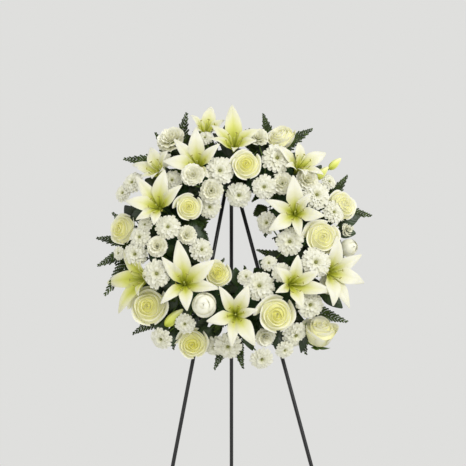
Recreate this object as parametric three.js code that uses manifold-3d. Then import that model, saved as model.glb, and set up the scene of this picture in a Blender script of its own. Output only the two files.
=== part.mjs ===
// A standing funeral wreath: white lilies, cream roses, daisy chrysanthemums, carnations and
// leatherleaf fern in a ring of floral foam, which leans on a black three-legged wire easel.
// Millimetres, +Z up. The front of the wreath looks along -Y.

import * as THREE from 'three';
import { mergeVertices } from 'three/addons/utils/BufferGeometryUtils.js';
import Module from 'manifold-3d';

const wasm = await Module();
wasm.setup();
const { Vector3, Matrix4, MathUtils } = THREE;
const rad = MathUtils.degToRad;

// Stance of the whole wreath
const WREATH_HEIGHT = 990; // middle of the ring above the floor
const LEAN = rad(9); // the ring and the front legs lean back
const VIEW_FROM = 3500; // distance from which the places of the flowers were read

// Foam ring and its tray
const RING_MIDDLE = 145; // radius of the ring's centre line
const FOAM_HALF = 39; // half the foam's width
const FOAM_FRONT = 31; // foam in front of the ring's middle plane
const FOAM_BACK = 27.2;
const TRAY_WALL = 2.4;
const TRAY_SLACK = 0.5; // between the foam and the tray's walls
const TRAY_BACK = 30;
const TRAY_RIM = 8; // the tray's walls reach forward to here
const RING_SIDES = 16;

// Easel
const TOUCH = 0.3; // between two pieces that touch or are welded
const ROD = 4; // radius of the legs
const ROD_SIDES = 12;
const BAR = 3; // radius of the cross bars, rest pegs and stop bar
const BAR_PLANE = TRAY_BACK + TOUCH + BAR; // depth of the cross bars behind the ring's middle
const LEG_PLANE = BAR_PLANE + BAR + TOUCH + ROD; // depth of the front legs
const APEX_RIGHT = -11; // the front legs' lines meet here, beside and above the ring's middle
const APEX_UP = 159;
const LEG_TOP = 139; // the rods end where they come side by side
const LEFT_SLOPE = -0.188; // sideways per unit down from the apex
const RIGHT_SLOPE = 0.265;
const UPPER_BAR_UP = 130;
const UPPER_BAR_LENGTH = 60;
const LOWER_BAR_UP = -130;
const LOWER_BAR_PAST = 12; // the lower bar runs on past the legs
const PEG_UNDER = 75; // rest pegs, left and right of the middle
const PEG_FRONT = 1; // the pegs reach forward to here, past the tray's rim
const PIN_UP = 96; // hinge of the back leg
const PIN = 3.5;
const EYE_HOLE = 4.1;
const EYE_OUTER = 7.2;
const EYE_WIDTH = 10;
const STOP_UP = 5; // the stop bar lies behind the front legs, over the hinge
const STOP_LENGTH = 44;
const BACK_SPREAD = rad(21.5); // the back leg's angle from upright

// Flowers and foliage
const GAP = 0.35; // least distance between two pieces
const SMALLEST_EDGE = 0.1; // finer edges are merged away
const BLADE = 1.6; // thickness of petals at their middle
const FROND_BLADE = 0.9; // thickness of fern fronds and leaves
const STEM = 2; // radius of most stems
const HOLE_SLACK = 0.55; // hole radius over stem radius
const LILY_STAND = 126; // heights over the ring's centre line
const ROSE_STAND = 112;
const SPRAY_STAND = 98;

const COLOURS = {
  foam: 0x2f4a26, tray: 0x1d2b1c, black: 0x121212, lily: 0xf2f1e6, rose: 0xece8c8,
  daisy: 0xf4f4ee, carnation: 0xeeefe0, fern: 0x2c4a1e, leaf: 0x35521f,
};

const FRONT = new Vector3(0, -1, 0);
const UP = new Vector3(0, 0, 1);

// Solids

function solid(geometry, matrix) {
  const bare = geometry.index ? geometry.clone() : geometry;
  bare.deleteAttribute('normal');
  bare.deleteAttribute('uv');
  if (matrix) bare.applyMatrix4(matrix);
  const merged = mergeVertices(bare, 1e-4);
  const vertProperties = new Float32Array(merged.attributes.position.array);
  const triVerts = new Uint32Array(merged.index.array);
  const made = new wasm.Manifold(new wasm.Mesh({ numProp: 3, vertProperties, triVerts }));
  if (made.volume() >= 0) return made;
  for (let i = 0; i < triVerts.length; i += 3) [triVerts[i], triVerts[i + 1]] = [triVerts[i + 1], triVerts[i]];
  return new wasm.Manifold(new wasm.Mesh({ numProp: 3, vertProperties, triVerts }));
}

function meshOf(name, shape, colour, roughness = 0.8) {
  const { vertProperties, triVerts } = shape.getMesh();
  const geometry = new THREE.BufferGeometry();
  geometry.setAttribute('position', new THREE.BufferAttribute(new Float32Array(vertProperties), 3));
  geometry.setIndex(new THREE.BufferAttribute(new Uint32Array(triVerts), 1));
  const mesh = new THREE.Mesh(geometry, new THREE.MeshStandardMaterial({ color: colour, roughness, metalness: 0 }));
  mesh.name = name;
  return mesh;
}

// A closed blade over a grid, thickest inside and thin at its rim. point(s, t) gives its middle
// surface, s from -1 to 1 across, t from 0 to 1 along. Both faces are split into triangles alike.
function blade(across, along, point, thick = BLADE) {
  const wide = across + 1;
  const mid = [];
  for (let j = 0; j <= along; j++) {
    for (let i = 0; i <= across; i++) mid.push(point((2 * i) / across - 1, j / along));
  }
  const at = (i, j) => mid[MathUtils.clamp(j, 0, along) * wide + MathUtils.clamp(i, 0, across)];
  const positions = [];
  for (const side of [0.5, -0.5]) {
    for (let j = 0; j <= along; j++) {
      for (let i = 0; i <= across; i++) {
        const rim = i === 0 || i === across || j === 0 || j === along;
        const over = at(i + 1, j).clone().sub(at(i - 1, j));
        const ahead = at(i, j + 1).clone().sub(at(i, j - 1));
        const normal = over.cross(ahead).normalize().multiplyScalar(rim ? 0 : side * thick);
        positions.push(...at(i, j).clone().add(normal).toArray());
      }
    }
  }
  const index = [];
  const under = mid.length;
  for (let j = 0; j < along; j++) {
    for (let i = 0; i < across; i++) {
      const a = j * wide + i;
      const [b, c, d] = [a + 1, a + wide, a + wide + 1];
      const split = i < across / 2 ? [[a, b, c], [b, d, c]] : [[a, b, d], [a, d, c]];
      for (const [p, q, r] of split) index.push(p, q, r, under + r, under + q, under + p);
    }
  }
  const geometry = new THREE.BufferGeometry();
  geometry.setAttribute('position', new THREE.Float32BufferAttribute(positions, 3));
  geometry.setIndex(index);
  return geometry;
}

// A flat outline of [along, across] points, bent by place(along, across, side) into a thin closed blade.
function cutBlade(outline, place, thick = FROND_BLADE) {
  const flat = outline.map(([x, y]) => new THREE.Vector2(x, y));
  if (THREE.ShapeUtils.isClockWise(flat)) return cutBlade([...outline].reverse(), place, thick);
  const faces = THREE.ShapeUtils.triangulateShape(flat, []);
  const positions = [];
  for (const side of [0.5, -0.5]) {
    for (const [x, y] of outline) positions.push(...place(x, y, side * thick).toArray());
  }
  const index = [];
  const count = outline.length;
  for (const [a, b, c] of faces) index.push(a, b, c, count + c, count + b, count + a);
  for (let a = 0; a < count; a++) {
    const b = (a + 1) % count;
    index.push(a, count + a, b, b, count + a, count + b);
  }
  const geometry = new THREE.BufferGeometry();
  geometry.setAttribute('position', new THREE.Float32BufferAttribute(positions, 3));
  geometry.setIndex(index);
  return geometry;
}

// A closed flower head raised by a formula: rings of pointed petals, from the lowest to the highest,
// each [tip radius, notch radius, tip height, notch height], between a point below and one on top.
// The petals of each ring stand over the notches of the one below it.
function petalHead(petals, rings, bottom, top, turn) {
  const around = petals * 2;
  const positions = [0, 0, bottom, 0, 0, top];
  rings.forEach(([tip, notch, tipHeight, notchHeight], k) => {
    for (let i = 0; i < around; i++) {
      const angle = turn + (2 * Math.PI * i) / around;
      const isTip = (i + k) % 2 === 0;
      const reach = isTip ? tip * (1 + 0.05 * Math.sin(i * 2.7 + turn * 5)) : notch;
      positions.push(reach * Math.cos(angle), reach * Math.sin(angle), isTip ? tipHeight : notchHeight);
    }
  });
  const index = [];
  for (let i = 0; i < around; i++) {
    const next = (i + 1) % around;
    index.push(0, 2 + next, 2 + i);
    for (let k = 1; k < rings.length; k++) {
      const [a, b] = [2 + (k - 1) * around + i, 2 + (k - 1) * around + next];
      const [c, d] = [a + around, b + around];
      if ((i + k) % 2 === 0) index.push(a, b, d, a, d, c);
      else index.push(a, b, c, b, d, c);
    }
    const last = 2 + (rings.length - 1) * around;
    index.push(1, last + i, last + next);
  }
  const geometry = new THREE.BufferGeometry();
  geometry.setAttribute('position', new THREE.Float32BufferAttribute(positions, 3));
  geometry.setIndex(index);
  return geometry;
}

// A straight rod between two points.
function rod(from, to, radius, sides = 12, endRadius = radius) {
  const along = to.clone().sub(from);
  const geometry = new THREE.CylinderGeometry(endRadius, radius, along.length(), sides);
  const turn = new THREE.Quaternion().setFromUnitVectors(new Vector3(0, 1, 0), along.clone().normalize());
  const middle = from.clone().add(to).multiplyScalar(0.5);
  return solid(geometry, new Matrix4().compose(middle, turn, new Vector3(1, 1, 1)));
}

// A thin three-sided stem through two or three points.
function stalk(points, radius) {
  const lengths = points.slice(1).map((to, i) => rod(points[i], to, radius, 3));
  return lengths.length === 1 ? lengths[0] : wasm.Manifold.union(lengths);
}

// Places on the wreath

// The point that is seen at (right, up) from the ring's middle and stands `depth` behind its plane. What
// stands forward looks larger and higher from the front, so it is set in and down by as much.
function seen(right, up, depth) {
  const near = 1 + (depth * Math.cos(LEAN) + up * Math.sin(LEAN)) / VIEW_FROM;
  return new Vector3(right * near, depth, (up * near + depth * Math.sin(LEAN)) / Math.cos(LEAN));
}

// Where a flower seen at (right, up) stands, and where it looks: on a dome, a tube of radius `high`
// round the ring's centre line.
function seat(right, up, high, face, drop = 0) {
  const reach = Math.hypot(right, up);
  const slope = Math.asin(MathUtils.clamp((reach - RING_MIDDLE) / high, -0.9, 0.9));
  const looks = new Vector3((right / reach) * Math.sin(slope), -Math.cos(slope), (up / reach) * Math.sin(slope));
  if (face) looks.set(face[0], -Math.sqrt(1 - face[0] ** 2 - face[1] ** 2), face[1]);
  return { at: seen(right, up, drop - high * Math.cos(slope)), looks: looks.normalize() };
}

// Frame of a bloom: z where it looks, y up and x right as seen from the front.
function bloomFrame({ at, looks }, scale = 1) {
  const y = UP.clone().addScaledVector(looks, -UP.dot(looks)).normalize();
  const x = y.clone().cross(looks);
  return new Matrix4().makeBasis(x, y, looks).scale(new Vector3(scale, scale, scale)).setPosition(at);
}

// The pieces that stand so far. A new one keeps clear of all that belong to other nodes.
const standing = [];
const nodes = new Map();

function overlaps(a, b) {
  return [0, 1, 2].every((i) => a.min[i] < b.max[i] + GAP && b.min[i] < a.max[i] + GAP);
}

function isClear(shape, name, passes = []) {
  const box = shape.boundingBox();
  return standing.every((other) => other.name === name || passes.includes(other.name)
    || !overlaps(box, other.box) || shape.minGap(other.shape, GAP) >= GAP - 1e-6);
}

function stand(name, shape, colour) {
  standing.push({ name, shape, box: shape.boundingBox() });
  if (!nodes.has(name)) nodes.set(name, { parts: [], colour });
  nodes.get(name).parts.push(shape);
}

// Makes a shape from each of the tries in turn, and keeps the first that is clear. Where none is, there
// is no room for the piece, and it is left out.
function settle(name, colour, tries, make, passes) {
  for (const attempt of tries) {
    const shape = make(...attempt);
    if (isClear(shape, name, passes)) {
      stand(name, shape, colour);
      return attempt;
    }
  }
  return null;
}

// Stems

const holes = [];
const joints = new Map(); // where side stems leave each node's stem
const STEM_END = 14; // stems end this near the ring's centre line
const STEM_TRIES = [0, 3, -3, 6, -6, 9, -9, 12, -12, 16, -16]
  .flatMap((turn) => [0, 12, -12, 24, -24].map((tip) => [rad(turn), rad(tip)]));

// A point in the ring's cross-section: `out` from the centre line, `tip` from straight forward.
function inRing(turn, tip, out) {
  const reach = RING_MIDDLE + out * Math.sin(tip);
  return new Vector3(reach * Math.cos(turn), -out * Math.cos(tip), reach * Math.sin(turn));
}

// A stem from the back of a bloom down into its own plain hole in the foam.
function stem(name, colour, base, radius = STEM) {
  const turn = Math.atan2(base.z, base.x);
  const tip = MathUtils.clamp(Math.atan2(Math.hypot(base.x, base.z) - RING_MIDDLE, -base.y), rad(-55), rad(55));
  const end = (turnBy, tipBy, out) => inRing(turn + turnBy, MathUtils.clamp(tip + tipBy, rad(-55), rad(55)), out);
  const found = settle(name, colour, STEM_TRIES, (a, b) => stalk([base, end(a, b, STEM_END)], radius), ['foam_ring']);
  if (!found) return;
  const foot = end(...found, STEM_END);
  const past = foot.clone().sub(base).normalize();
  holes.push(stalk([base.clone().lerp(foot, 0.2), foot.clone().add(past)], radius + HOLE_SLACK));
  joints.set(name, base.clone().lerp(foot, 0.4));
}

// A side stem from a node's own stem.
function sideStem(name, colour, base, radius = STEM) {
  const joint = joints.get(name);
  const tries = [0, 8, -8, 16, -16, 24, -24].map((up) => [up]);
  settle(name, colour, tries, (up) => stalk([joint.clone().addScaledVector(UP, up * 0.3), base], radius));
}

// Lilies

// One petal: it rises from the throat, opens outward and curls back at its tip. `lift` closes it
// towards the bloom's axis and `reach` is its length as seen from the front.
const THROAT = 46; // depth of a lily's throat
const SEPAL_BACK = 3; // every second petal grows behind its neighbours
function lilyPetal(frame, angle, reach, width, isSepal, lift, shorten) {
  const long = reach * shorten;
  const surface = (s, t) => {
    let out = long * (0.02 + 0.98 * t ** 1.25);
    const full = width * Math.sin(Math.PI * (0.06 + 0.9 * t ** 0.85)) ** 0.9;
    const wide = Math.min(full, 0.85 * out);
    let high = -THROAT * (1 - t) ** 1.9 - 0.1 * long * t ** 4 + 0.3 * wide * s * s * (1 - t);
    if (isSepal) high -= SEPAL_BACK;
    const bend = lift * t;
    const rise = high + THROAT;
    [out, high] = [
      out * Math.cos(bend) - rise * Math.sin(bend),
      out * Math.sin(bend) + rise * Math.cos(bend) - THROAT,
    ];
    const side = (wide / 2) * s;
    return new Vector3(
      out * Math.cos(angle) - side * Math.sin(angle),
      out * Math.sin(angle) + side * Math.cos(angle),
      high,
    ).applyMatrix4(frame);
  };
  return solid(blade(2, isSepal ? 3 : 4, surface));
}

const PETAL_TRIES = [1, 0.88, 0.76, 0.62]
  .flatMap((shorten) => [0, 10, -8, 20, 32, 45].map((lift) => [rad(lift), shorten]));

// A slim cone from its point to the middle of its base.
function spike(from, to, radius, sides = 3) {
  const along = to.clone().sub(from);
  const geometry = new THREE.ConeGeometry(radius, along.length(), sides).rotateX(Math.PI);
  const turn = new THREE.Quaternion().setFromUnitVectors(new Vector3(0, 1, 0), along.clone().normalize());
  return solid(geometry, new Matrix4().compose(from.clone().lerp(to, 0.5), turn, new Vector3(1, 1, 1)));
}

// The throat, with its pistil and three of its six stamens.
function lilyThroat(name, frame) {
  const cup = new THREE.ConeGeometry(11, 26, 6).rotateX(-Math.PI / 2).translate(0, 0, -THROAT + 2);
  stand(name, solid(cup, frame), COLOURS.lily);
  for (let i = 0; i < 4; i++) {
    const angle = rad(120 * i + 20);
    const out = i === 3 ? 0 : 17;
    const foot = new Vector3(0.3 * out * Math.cos(angle), 0.3 * out * Math.sin(angle), -THROAT + 11);
    const head = new Vector3(out * Math.cos(angle), out * Math.sin(angle), i === 3 ? 2 : -5);
    const stamen = spike(foot.applyMatrix4(frame), head.applyMatrix4(frame), 2.2);
    if (isClear(stamen, name)) stand(name, stamen, COLOURS.lily);
  }
}

const LILIES = [
  { name: 'lily_top', at: [-3, 206], face: [0.0, 0.5], petals: [[93, 74], [147, 52], [36, 50], [210, 36], [330, 36], [270, 32]] },
  { name: 'lily_upper_left', at: [-81, 158], petals: [[95, 74], [134, 69], [178, 67], [45, 59], [240, 50], [310, 50]] },
  { name: 'lily_upper_left', at: [-60, 236], face: [0.05, 0.72], petals: [[90, 40], [150, 36], [30, 36], [210, 30], [330, 30], [270, 28]] },
  { name: 'lily_upper_right', at: [144, 160], face: [0.35, 0.4], petals: [[84, 48], [144, 58], [23, 62], [204, 50], [264, 50], [324, 50]] },
  { name: 'lily_left', at: [-167, 67], petals: [[78, 74], [125, 78], [171, 63], [212, 50], [262, 42], [33, 67]] },
  { name: 'lily_left_behind', at: [-175, 149], petals: [[115, 52], [160, 58], [60, 48], [220, 48], [280, 42], [340, 42]] },
  { name: 'lily_right', at: [129, 50], petals: [[99, 80], [161, 76], [219, 74], [276, 80], [358, 55], [56, 55]] },
  { name: 'lily_left_side', at: [-208, -86], face: [-0.78, 0.0], petals: [[90, 62], [140, 60], [190, 58], [240, 62], [290, 58], [20, 50]] },
  { name: 'lily_lower_left', at: [-108, -95], petals: [[100, 86], [140, 62], [24, 94], [350, 65], [272, 61], [205, 55]] },
  { name: 'lily_bottom', at: [-1, -166], petals: [[68, 67], [127, 63], [192, 61], [258, 61], [304, 71], [8, 50]] },
  { name: 'lily_lower_right', at: [127, -101], face: [0.3, -0.1], petals: [[75, 59], [352, 84], [288, 50], [210, 40], [135, 50], [30, 62]] },
  { name: 'lily_right_side', at: [212, -76], face: [0.72, -0.1], petals: [[87, 70], [37, 66], [349, 60], [299, 72], [200, 46], [140, 50]] },
];

// Roses

// One rose petal, a part of a cup, from [foot radius, foot height] to [rim radius, rim height], all as
// parts of the rose's size. Its left edge lies outside the next petal and its right edge inside, so
// that they overlap without touching. `close` draws the rim in.
function rosePetal(frame, size, angle, half, [footOut, footHigh], [rimOut, rimHigh], close, shorten, along) {
  const surface = (s, t) => {
    const turn = angle + half * s * (0.6 + 0.4 * Math.sin((Math.PI / 2) * t));
    const bulge = Math.sin((Math.PI / 2) * t);
    const out = size * (footOut + (rimOut - footOut) * bulge) * (1 - close * t) * (1 - 0.09 * s);
    const high = size * (footHigh + (rimHigh - footHigh) * t ** 1.3 * shorten - 0.1 * s * s * t);
    return new Vector3(out * Math.cos(turn), out * Math.sin(turn), high).applyMatrix4(frame);
  };
  return solid(blade(2, along, surface));
}

// The heart of a rose: a tight bud in its calyx, with three inner petals.
function roseHeart(size, frame) {
  const bud = new THREE.LatheGeometry([[0, -0.5], [0.21, -0.34], [0.15, 0], [0, 0.04]]
    .map(([x, y]) => new THREE.Vector2(x * size, y * size)), 6);
  bud.rotateX(Math.PI / 2);
  const pieces = [solid(bud, frame)];
  for (let i = 0; i < 3; i++) {
    pieces.push(rosePetal(frame, size, rad(120 * i), rad(60), [0.17, -0.26], [0.27, 0.08], 0, 1, 2));
  }
  return wasm.Manifold.union(pieces);
}

const ROSES = [
  { name: 'rose_top', at: [22, 151], size: 70 },
  { name: 'rose_left_edge', at: [-243, 15], size: 66, face: [-0.72, 0.05] },
  { name: 'rose_inner_left', at: [-98, 61], size: 63 },
  { name: 'rose_right_edge', at: [230, 67], size: 60, face: [0.66, 0.25] },
  { name: 'rose_right', at: [184, -2], size: 74 },
  { name: 'rose_lower_left', at: [-188, -147], size: 78 },
  { name: 'rose_inner_bottom', at: [-35, -78], size: 52 },
  { name: 'rose_lower_right', at: [87, -166], size: 80 },
  { name: 'rose_corner_right', at: [180, -190], size: 76, face: [0.5, 0.4] },
  { name: 'rose_bottom', at: [-91, -226], size: 72 },
  { name: 'rose_top_right', at: [93, 214], size: 66, face: [-0.55, 0.45] },
];

const ROSE_DROPS = [0, 8, -8, 16, -16, 24, 32].map((drop) => [drop]);
const ROSE_PETALS = [0, 0.12, 0.25, -0.1, 0.4, 0.5].flatMap((close) => [1, 0.85].map((short) => [close, short]));

// Sprays of daisy chrysanthemums and carnations

// A daisy head: two rows of petals round a low eye.
function daisyHead(frame, size, turn) {
  const rings = [[1, 0.5, 0.02, -0.1], [0.72, 0.34, 0.2, 0.06]].map((ring) => ring.map((part) => part * size));
  return solid(petalHead(size < 18 ? 6 : 8, rings, -0.32 * size, 0.12 * size, turn), frame);
}

// A carnation head: three ruffled rows that make a loose ball.
function carnationHead(frame, size, turn) {
  const rings = [[1, 0.6, -0.12, 0.02], [0.86, 0.5, 0.24, 0.12], [0.5, 0.3, 0.5, 0.34]];
  const rows = rings.map((ring) => ring.map((part) => part * size));
  return solid(petalHead(6, rows, -0.5 * size, 0.42 * size, turn), frame);
}

const DAISY = { make: daisyHead, colour: COLOURS.daisy, back: 0.2 };
const CARNATION = { make: carnationHead, colour: COLOURS.carnation, back: 0.35 };
const SPRAYS = [
  { name: 'spray_top', kind: DAISY, heads: [[-35, 137, 25], [-64, 206, 15]] },
  { name: 'spray_upper_right', kind: DAISY, heads: [[87, 164, 31], [60, 101, 23], [54, 206, 15, CARNATION]] },
  { name: 'spray_inner_top', kind: DAISY, heads: [[7, 86, 25], [-54, 61, 23]] },
  { name: 'spray_inner_right', kind: DAISY, heads: [[114, -13, 26], [64, 27, 19], [70, -57, 15]] },
  { name: 'spray_right', kind: DAISY, heads: [[182, 88, 25], [207, 46, 19], [196, 116, 14]] },
  { name: 'spray_left', kind: DAISY, heads: [[-209, -38, 25], [-203, -2, 21], [-245, -36, 11], [-165, -80, 28], [-167, -19, 20, CARNATION]] },
  { name: 'spray_inner_left', kind: DAISY, heads: [[-72, -29, 23], [-102, 0, 19, CARNATION]] },
  { name: 'spray_inner_bottom', kind: DAISY, heads: [[49, -109, 28], [96, -80, 19], [22, -86, 17]] },
  { name: 'spray_lower_right', kind: DAISY, heads: [[169, -55, 27], [154, -145, 25]] },
  { name: 'spray_lower_left', kind: DAISY, heads: [[-110, -183, 23], [-154, -219, 20], [-66, -145, 25, CARNATION]] },
  { name: 'spray_bottom', kind: DAISY, heads: [[-22, -228, 30], [56, -254, 21]] },
  { name: 'spray_bottom_right', kind: DAISY, heads: [[123, -208, 26], [104, -240, 15], [62, -214, 18, CARNATION]] },
  { name: 'spray_left_top', kind: DAISY, heads: [[-215, 111, 21], [-236, 92, 17], [-159, 160, 19], [-133, 206, 26, CARNATION]] },
  { name: 'carnations_upper_left', kind: CARNATION, heads: [[-87, 128, 18], [-51, 92, 23]] },
  { name: 'carnations_upper_right', kind: CARNATION, heads: [[93, 109, 19], [152, 120, 21]] },
  { name: 'carnations_right', kind: CARNATION, heads: [[192, -97, 21], [234, -23, 15], [236, 13, 12]] },
];

const HEAD_TRIES = [1, 0.92, 0.84, 0.72].flatMap((scale) => (
  [0, 8, -8, 16, -16, 24, -24, 32, 40, 48].map((drop) => [drop, scale])));

// The heads of a spray, each in its place, on branches that leave one stem above the foam.
function spray({ name, kind, heads }) {
  const backs = [];
  heads.forEach(([right, up, size, other], i) => {
    const { make, back } = other ?? kind;
    const found = settle(name, kind.colour, HEAD_TRIES, (drop, scale) => {
      const place = seat(right, up, SPRAY_STAND, null, drop);
      return make(bloomFrame(place), size * scale, i + right);
    });
    if (!found) return;
    const place = seat(right, up, SPRAY_STAND, null, found[0]);
    backs.push(place.at.addScaledVector(place.looks, -back * size * 0.6));
  });
  const middle = backs.reduce((sum, p) => sum.add(p), new Vector3()).divideScalar(backs.length);
  const turn = Math.atan2(middle.z, middle.x);
  const tip = MathUtils.clamp(Math.atan2(Math.hypot(middle.x, middle.z) - RING_MIDDLE, -middle.y), rad(-55), rad(55));
  const forks = [56, 48, 64].flatMap((out) => STEM_TRIES.map(([a, b]) => [out, a, b]));
  const fork = (out, a, b) => inRing(turn + a, MathUtils.clamp(tip + b, rad(-60), rad(60)), out);
  const build = (...way) => wasm.Manifold.union([
    stalk([fork(...way), fork(STEM_END, way[1], way[2])], STEM),
    ...backs.map((back) => stalk([fork(way[0] - 4, way[1], way[2]), back], STEM * 0.75)),
  ]);
  const found = settle(name, kind.colour, forks, build, ['foam_ring']);
  if (!found) return;
  joints.set(name, fork(...found));
  holes.push(stalk([fork(...found), fork(STEM_END - 1, found[1], found[2])], STEM + HOLE_SLACK));
}

// Fern fronds and leaves

const STALK = 1.3; // half the width of a leaf stalk

// The outline of a fern frond on its stalk: leaflets that point forward, longest near the foot, cut to
// the rib. `bare` is the stalk's share of the length.
function frondOutline(long, wide, bare, leaflets) {
  const side = [[0, STALK]];
  const leafy = long * (1 - bare);
  for (let i = 0; i < leaflets; i++) {
    const along = long * bare + (leafy * i) / leaflets;
    const reach = wide * 0.5 * (1 - (0.8 * i) / leaflets);
    side.push([along, STALK], [along + (0.8 * leafy) / leaflets, reach]);
  }
  return [...side, [long, 0], ...side.map(([x, y]) => [x, -y]).reverse()];
}

// The outline of a broad pointed leaf on its stalk.
function leafOutline(long, wide, bare) {
  const side = [[0, STALK], [bare, STALK], [0.3 + 0.7 * bare, 0.48 * wide], [0.75, 0.42 * wide]]
    .map(([x, y]) => [x * long, y]);
  return [...side, [long, 0], ...side.map(([x, y]) => [x, -y]).reverse()];
}

// A frond or leaf from `from` to `to`, arched along its length, with its two sides folded a little.
// `roll` turns it about its own length.
function leafBlade(from, to, outline, roll, arch, shrink) {
  const along = to.clone().sub(from);
  const long = along.length() * shrink;
  along.normalize();
  const face = FRONT.clone().addScaledVector(along, -FRONT.dot(along)).normalize().applyAxisAngle(along, roll);
  const across = face.clone().cross(along);
  const place = (x, y, side) => {
    const t = x / long;
    return from.clone().addScaledVector(along, x).addScaledVector(across, y)
      .addScaledVector(face, side + 4 * arch * long * t * (1 - t) - 0.2 * Math.abs(y));
  };
  return solid(cutBlade(outline(long), place));
}

const LEAF_TRIES = [1, 0.9, 0.8, 0.68].flatMap((shrink) => [0, 12, -12, 25, -25, 40, -40].flatMap((roll) => (
  [0, 10, -10, 20, -20, 30].map((back) => [shrink, rad(roll), back]))));

// A blade on its stalk, from a point inside a stem to where its tip is seen.
function frond(name, colour, root, [right, up], depth, outline, arch = 0.08) {
  return settle(name, colour, LEAF_TRIES, (shrink, roll, back) => (
    leafBlade(root, seen(right, up, depth + back), outline, roll, arch, shrink)));
}

// Bunches of fern: each is wired to one stem, which goes into the foam's outer or inner side.
const FERN_BUNCHES = [
  { name: 'fern_upper_left', turn: 130, tips: [[-169, 218], [-236, 162], [-102, 260]] },
  { name: 'fern_top', turn: 66, tips: [[58, 258], [163, 225]] },
  { name: 'fern_right', turn: 17, tips: [[236, 128], [287, 42]] },
  { name: 'fern_left', turn: 186, tips: [[-293, -4], [-291, -63], [-276, -126], [-259, 50]] },
  { name: 'fern_lower_left', turn: 232, tips: [[-217, -206], [-131, -239]] },
  { name: 'fern_bottom', turn: 268, tips: [[-45, -281], [16, -279]] },
  { name: 'fern_lower_right', turn: 310, tips: [[236, -181], [148, -250]] },
  { name: 'fern_inner_left', turn: 163, tips: [[-39, 58], [-62, 24], [-49, -40]], inside: true },
  { name: 'fern_inner_right', turn: 40, tips: [[39, 45], [62, -2]], inside: true },
];

function fernBunch({ name, turn, tips, inside }) {
  const lean = rad(inside ? -80 : 80);
  const tries = [0, 2, -2, 4, -4, 6, -6, 9, -9].map((by) => [rad(by)]);
  const path = (by, end) => [inRing(rad(turn) + by, lean, 50), inRing(rad(turn) + by, lean, end)];
  const found = settle(name, COLOURS.fern, tries, (by) => stalk(path(by, STEM_END), STEM), ['foam_ring']);
  if (!found) return;
  holes.push(stalk(path(found[0], STEM_END - 1), STEM + HOLE_SLACK));
  const joint = inRing(rad(turn) + found[0], lean, 48);
  tips.forEach((tip, i) => {
    const depth = [-12, 0, -24, -6][i];
    const wide = inside ? 26 : 0.55 * joint.distanceTo(seen(...tip, depth));
    frond(name, COLOURS.fern, joint, tip, depth, (long) => frondOutline(long, wide, 0.3, inside ? 3 : 4));
  });
}

// Broad leaves, each on the stem of a bloom or on a leafy stem of its own.
const LEAFY_STEMS = [
  { name: 'leaves_inner_left', at: [-118, 2], tips: [[-66, 28], [-58, -2], [-76, -60]] },
  { name: 'leaves_right', at: [196, 12], tips: [[224, -52], [252, 6], [260, 42]] },
];
const LEAVES = [
  { name: 'rose_top', tip: [-32, 196], wide: 28 },
  { name: 'carnations_upper_left', tip: [-98, 84], wide: 26 },
  { name: 'rose_left_edge', tip: [-232, 64], wide: 28 },
  { name: 'lily_left', tip: [-222, 32], wide: 26 },
  { name: 'spray_lower_right', tip: [224, -150], wide: 30 },
  { name: 'rose_lower_left', tip: [-152, -228], wide: 30 },
  { name: 'rose_lower_right', tip: [90, -246], wide: 26 },
  { name: 'rose_corner_right', tip: [140, -262], wide: 26 },
];

// Lily buds on side stems of an open lily: [foot, tip] as seen, with their widest radius.
const BUDS = [
  { name: 'lily_upper_right', foot: [196, 140], tip: [222, 164], wide: 7 },
  { name: 'lily_upper_right', foot: [165, 118], tip: [196, 146], wide: 8 },
  { name: 'lily_lower_left', foot: [-148, -189], tip: [-110, -153], wide: 9 },
];

function bud({ name, foot, tip, wide }) {
  const tries = [-60, -50, -70, -40, -80, -90, -30, -100].map((depth) => [depth]);
  let base;
  const found = settle(name, COLOURS.lily, tries, (depth) => {
    base = seen(...foot, depth);
    const along = seen(...tip, depth - 6).sub(base);
    const long = along.length();
    const profile = [[0, 0], [0.5 * wide, 0.08 * long], [wide, 0.55 * long], [0.7 * wide, 0.86 * long], [0, long]];
    const shape = new THREE.LatheGeometry(profile.map(([x, y]) => new THREE.Vector2(x, y)), 6);
    const turn = new THREE.Quaternion().setFromUnitVectors(new Vector3(0, 1, 0), along.normalize());
    base.addScaledVector(along, 1.5);
    return solid(shape, new Matrix4().compose(seen(...foot, depth), turn, new Vector3(1, 1, 1)));
  });
  if (found) sideStem(name, COLOURS.lily, base, 1.6);
}

// Build

function lathe(points, sides) {
  return solid(new THREE.LatheGeometry([...points, points[0]].map(([x, y]) => new THREE.Vector2(x, y)), sides));
}

const inner = RING_MIDDLE - FOAM_HALF;
const outer = RING_MIDDLE + FOAM_HALF;
const innerWall = inner - TRAY_SLACK - TRAY_WALL;
const outerWall = outer + TRAY_SLACK + TRAY_WALL;
const foam = lathe([
  [inner, FOAM_BACK], [outer, FOAM_BACK], [outer, -14], [outer - 12, -27], [outer - 26, -FOAM_FRONT],
  [inner + 26, -FOAM_FRONT], [inner + 12, -27], [inner, -14],
], RING_SIDES);
const trayFloor = TRAY_BACK - TRAY_WALL;
const tray = lathe([
  [innerWall, TRAY_RIM], [inner - TRAY_SLACK, TRAY_RIM], [inner - TRAY_SLACK, trayFloor],
  [outer + TRAY_SLACK, trayFloor], [outer + TRAY_SLACK, TRAY_RIM], [outerWall, TRAY_RIM],
  [outerWall, TRAY_BACK], [innerWall, TRAY_BACK],
], RING_SIDES);
stand('foam_ring', foam, COLOURS.foam);
stand('ring_tray', tray, COLOURS.tray);

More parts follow.
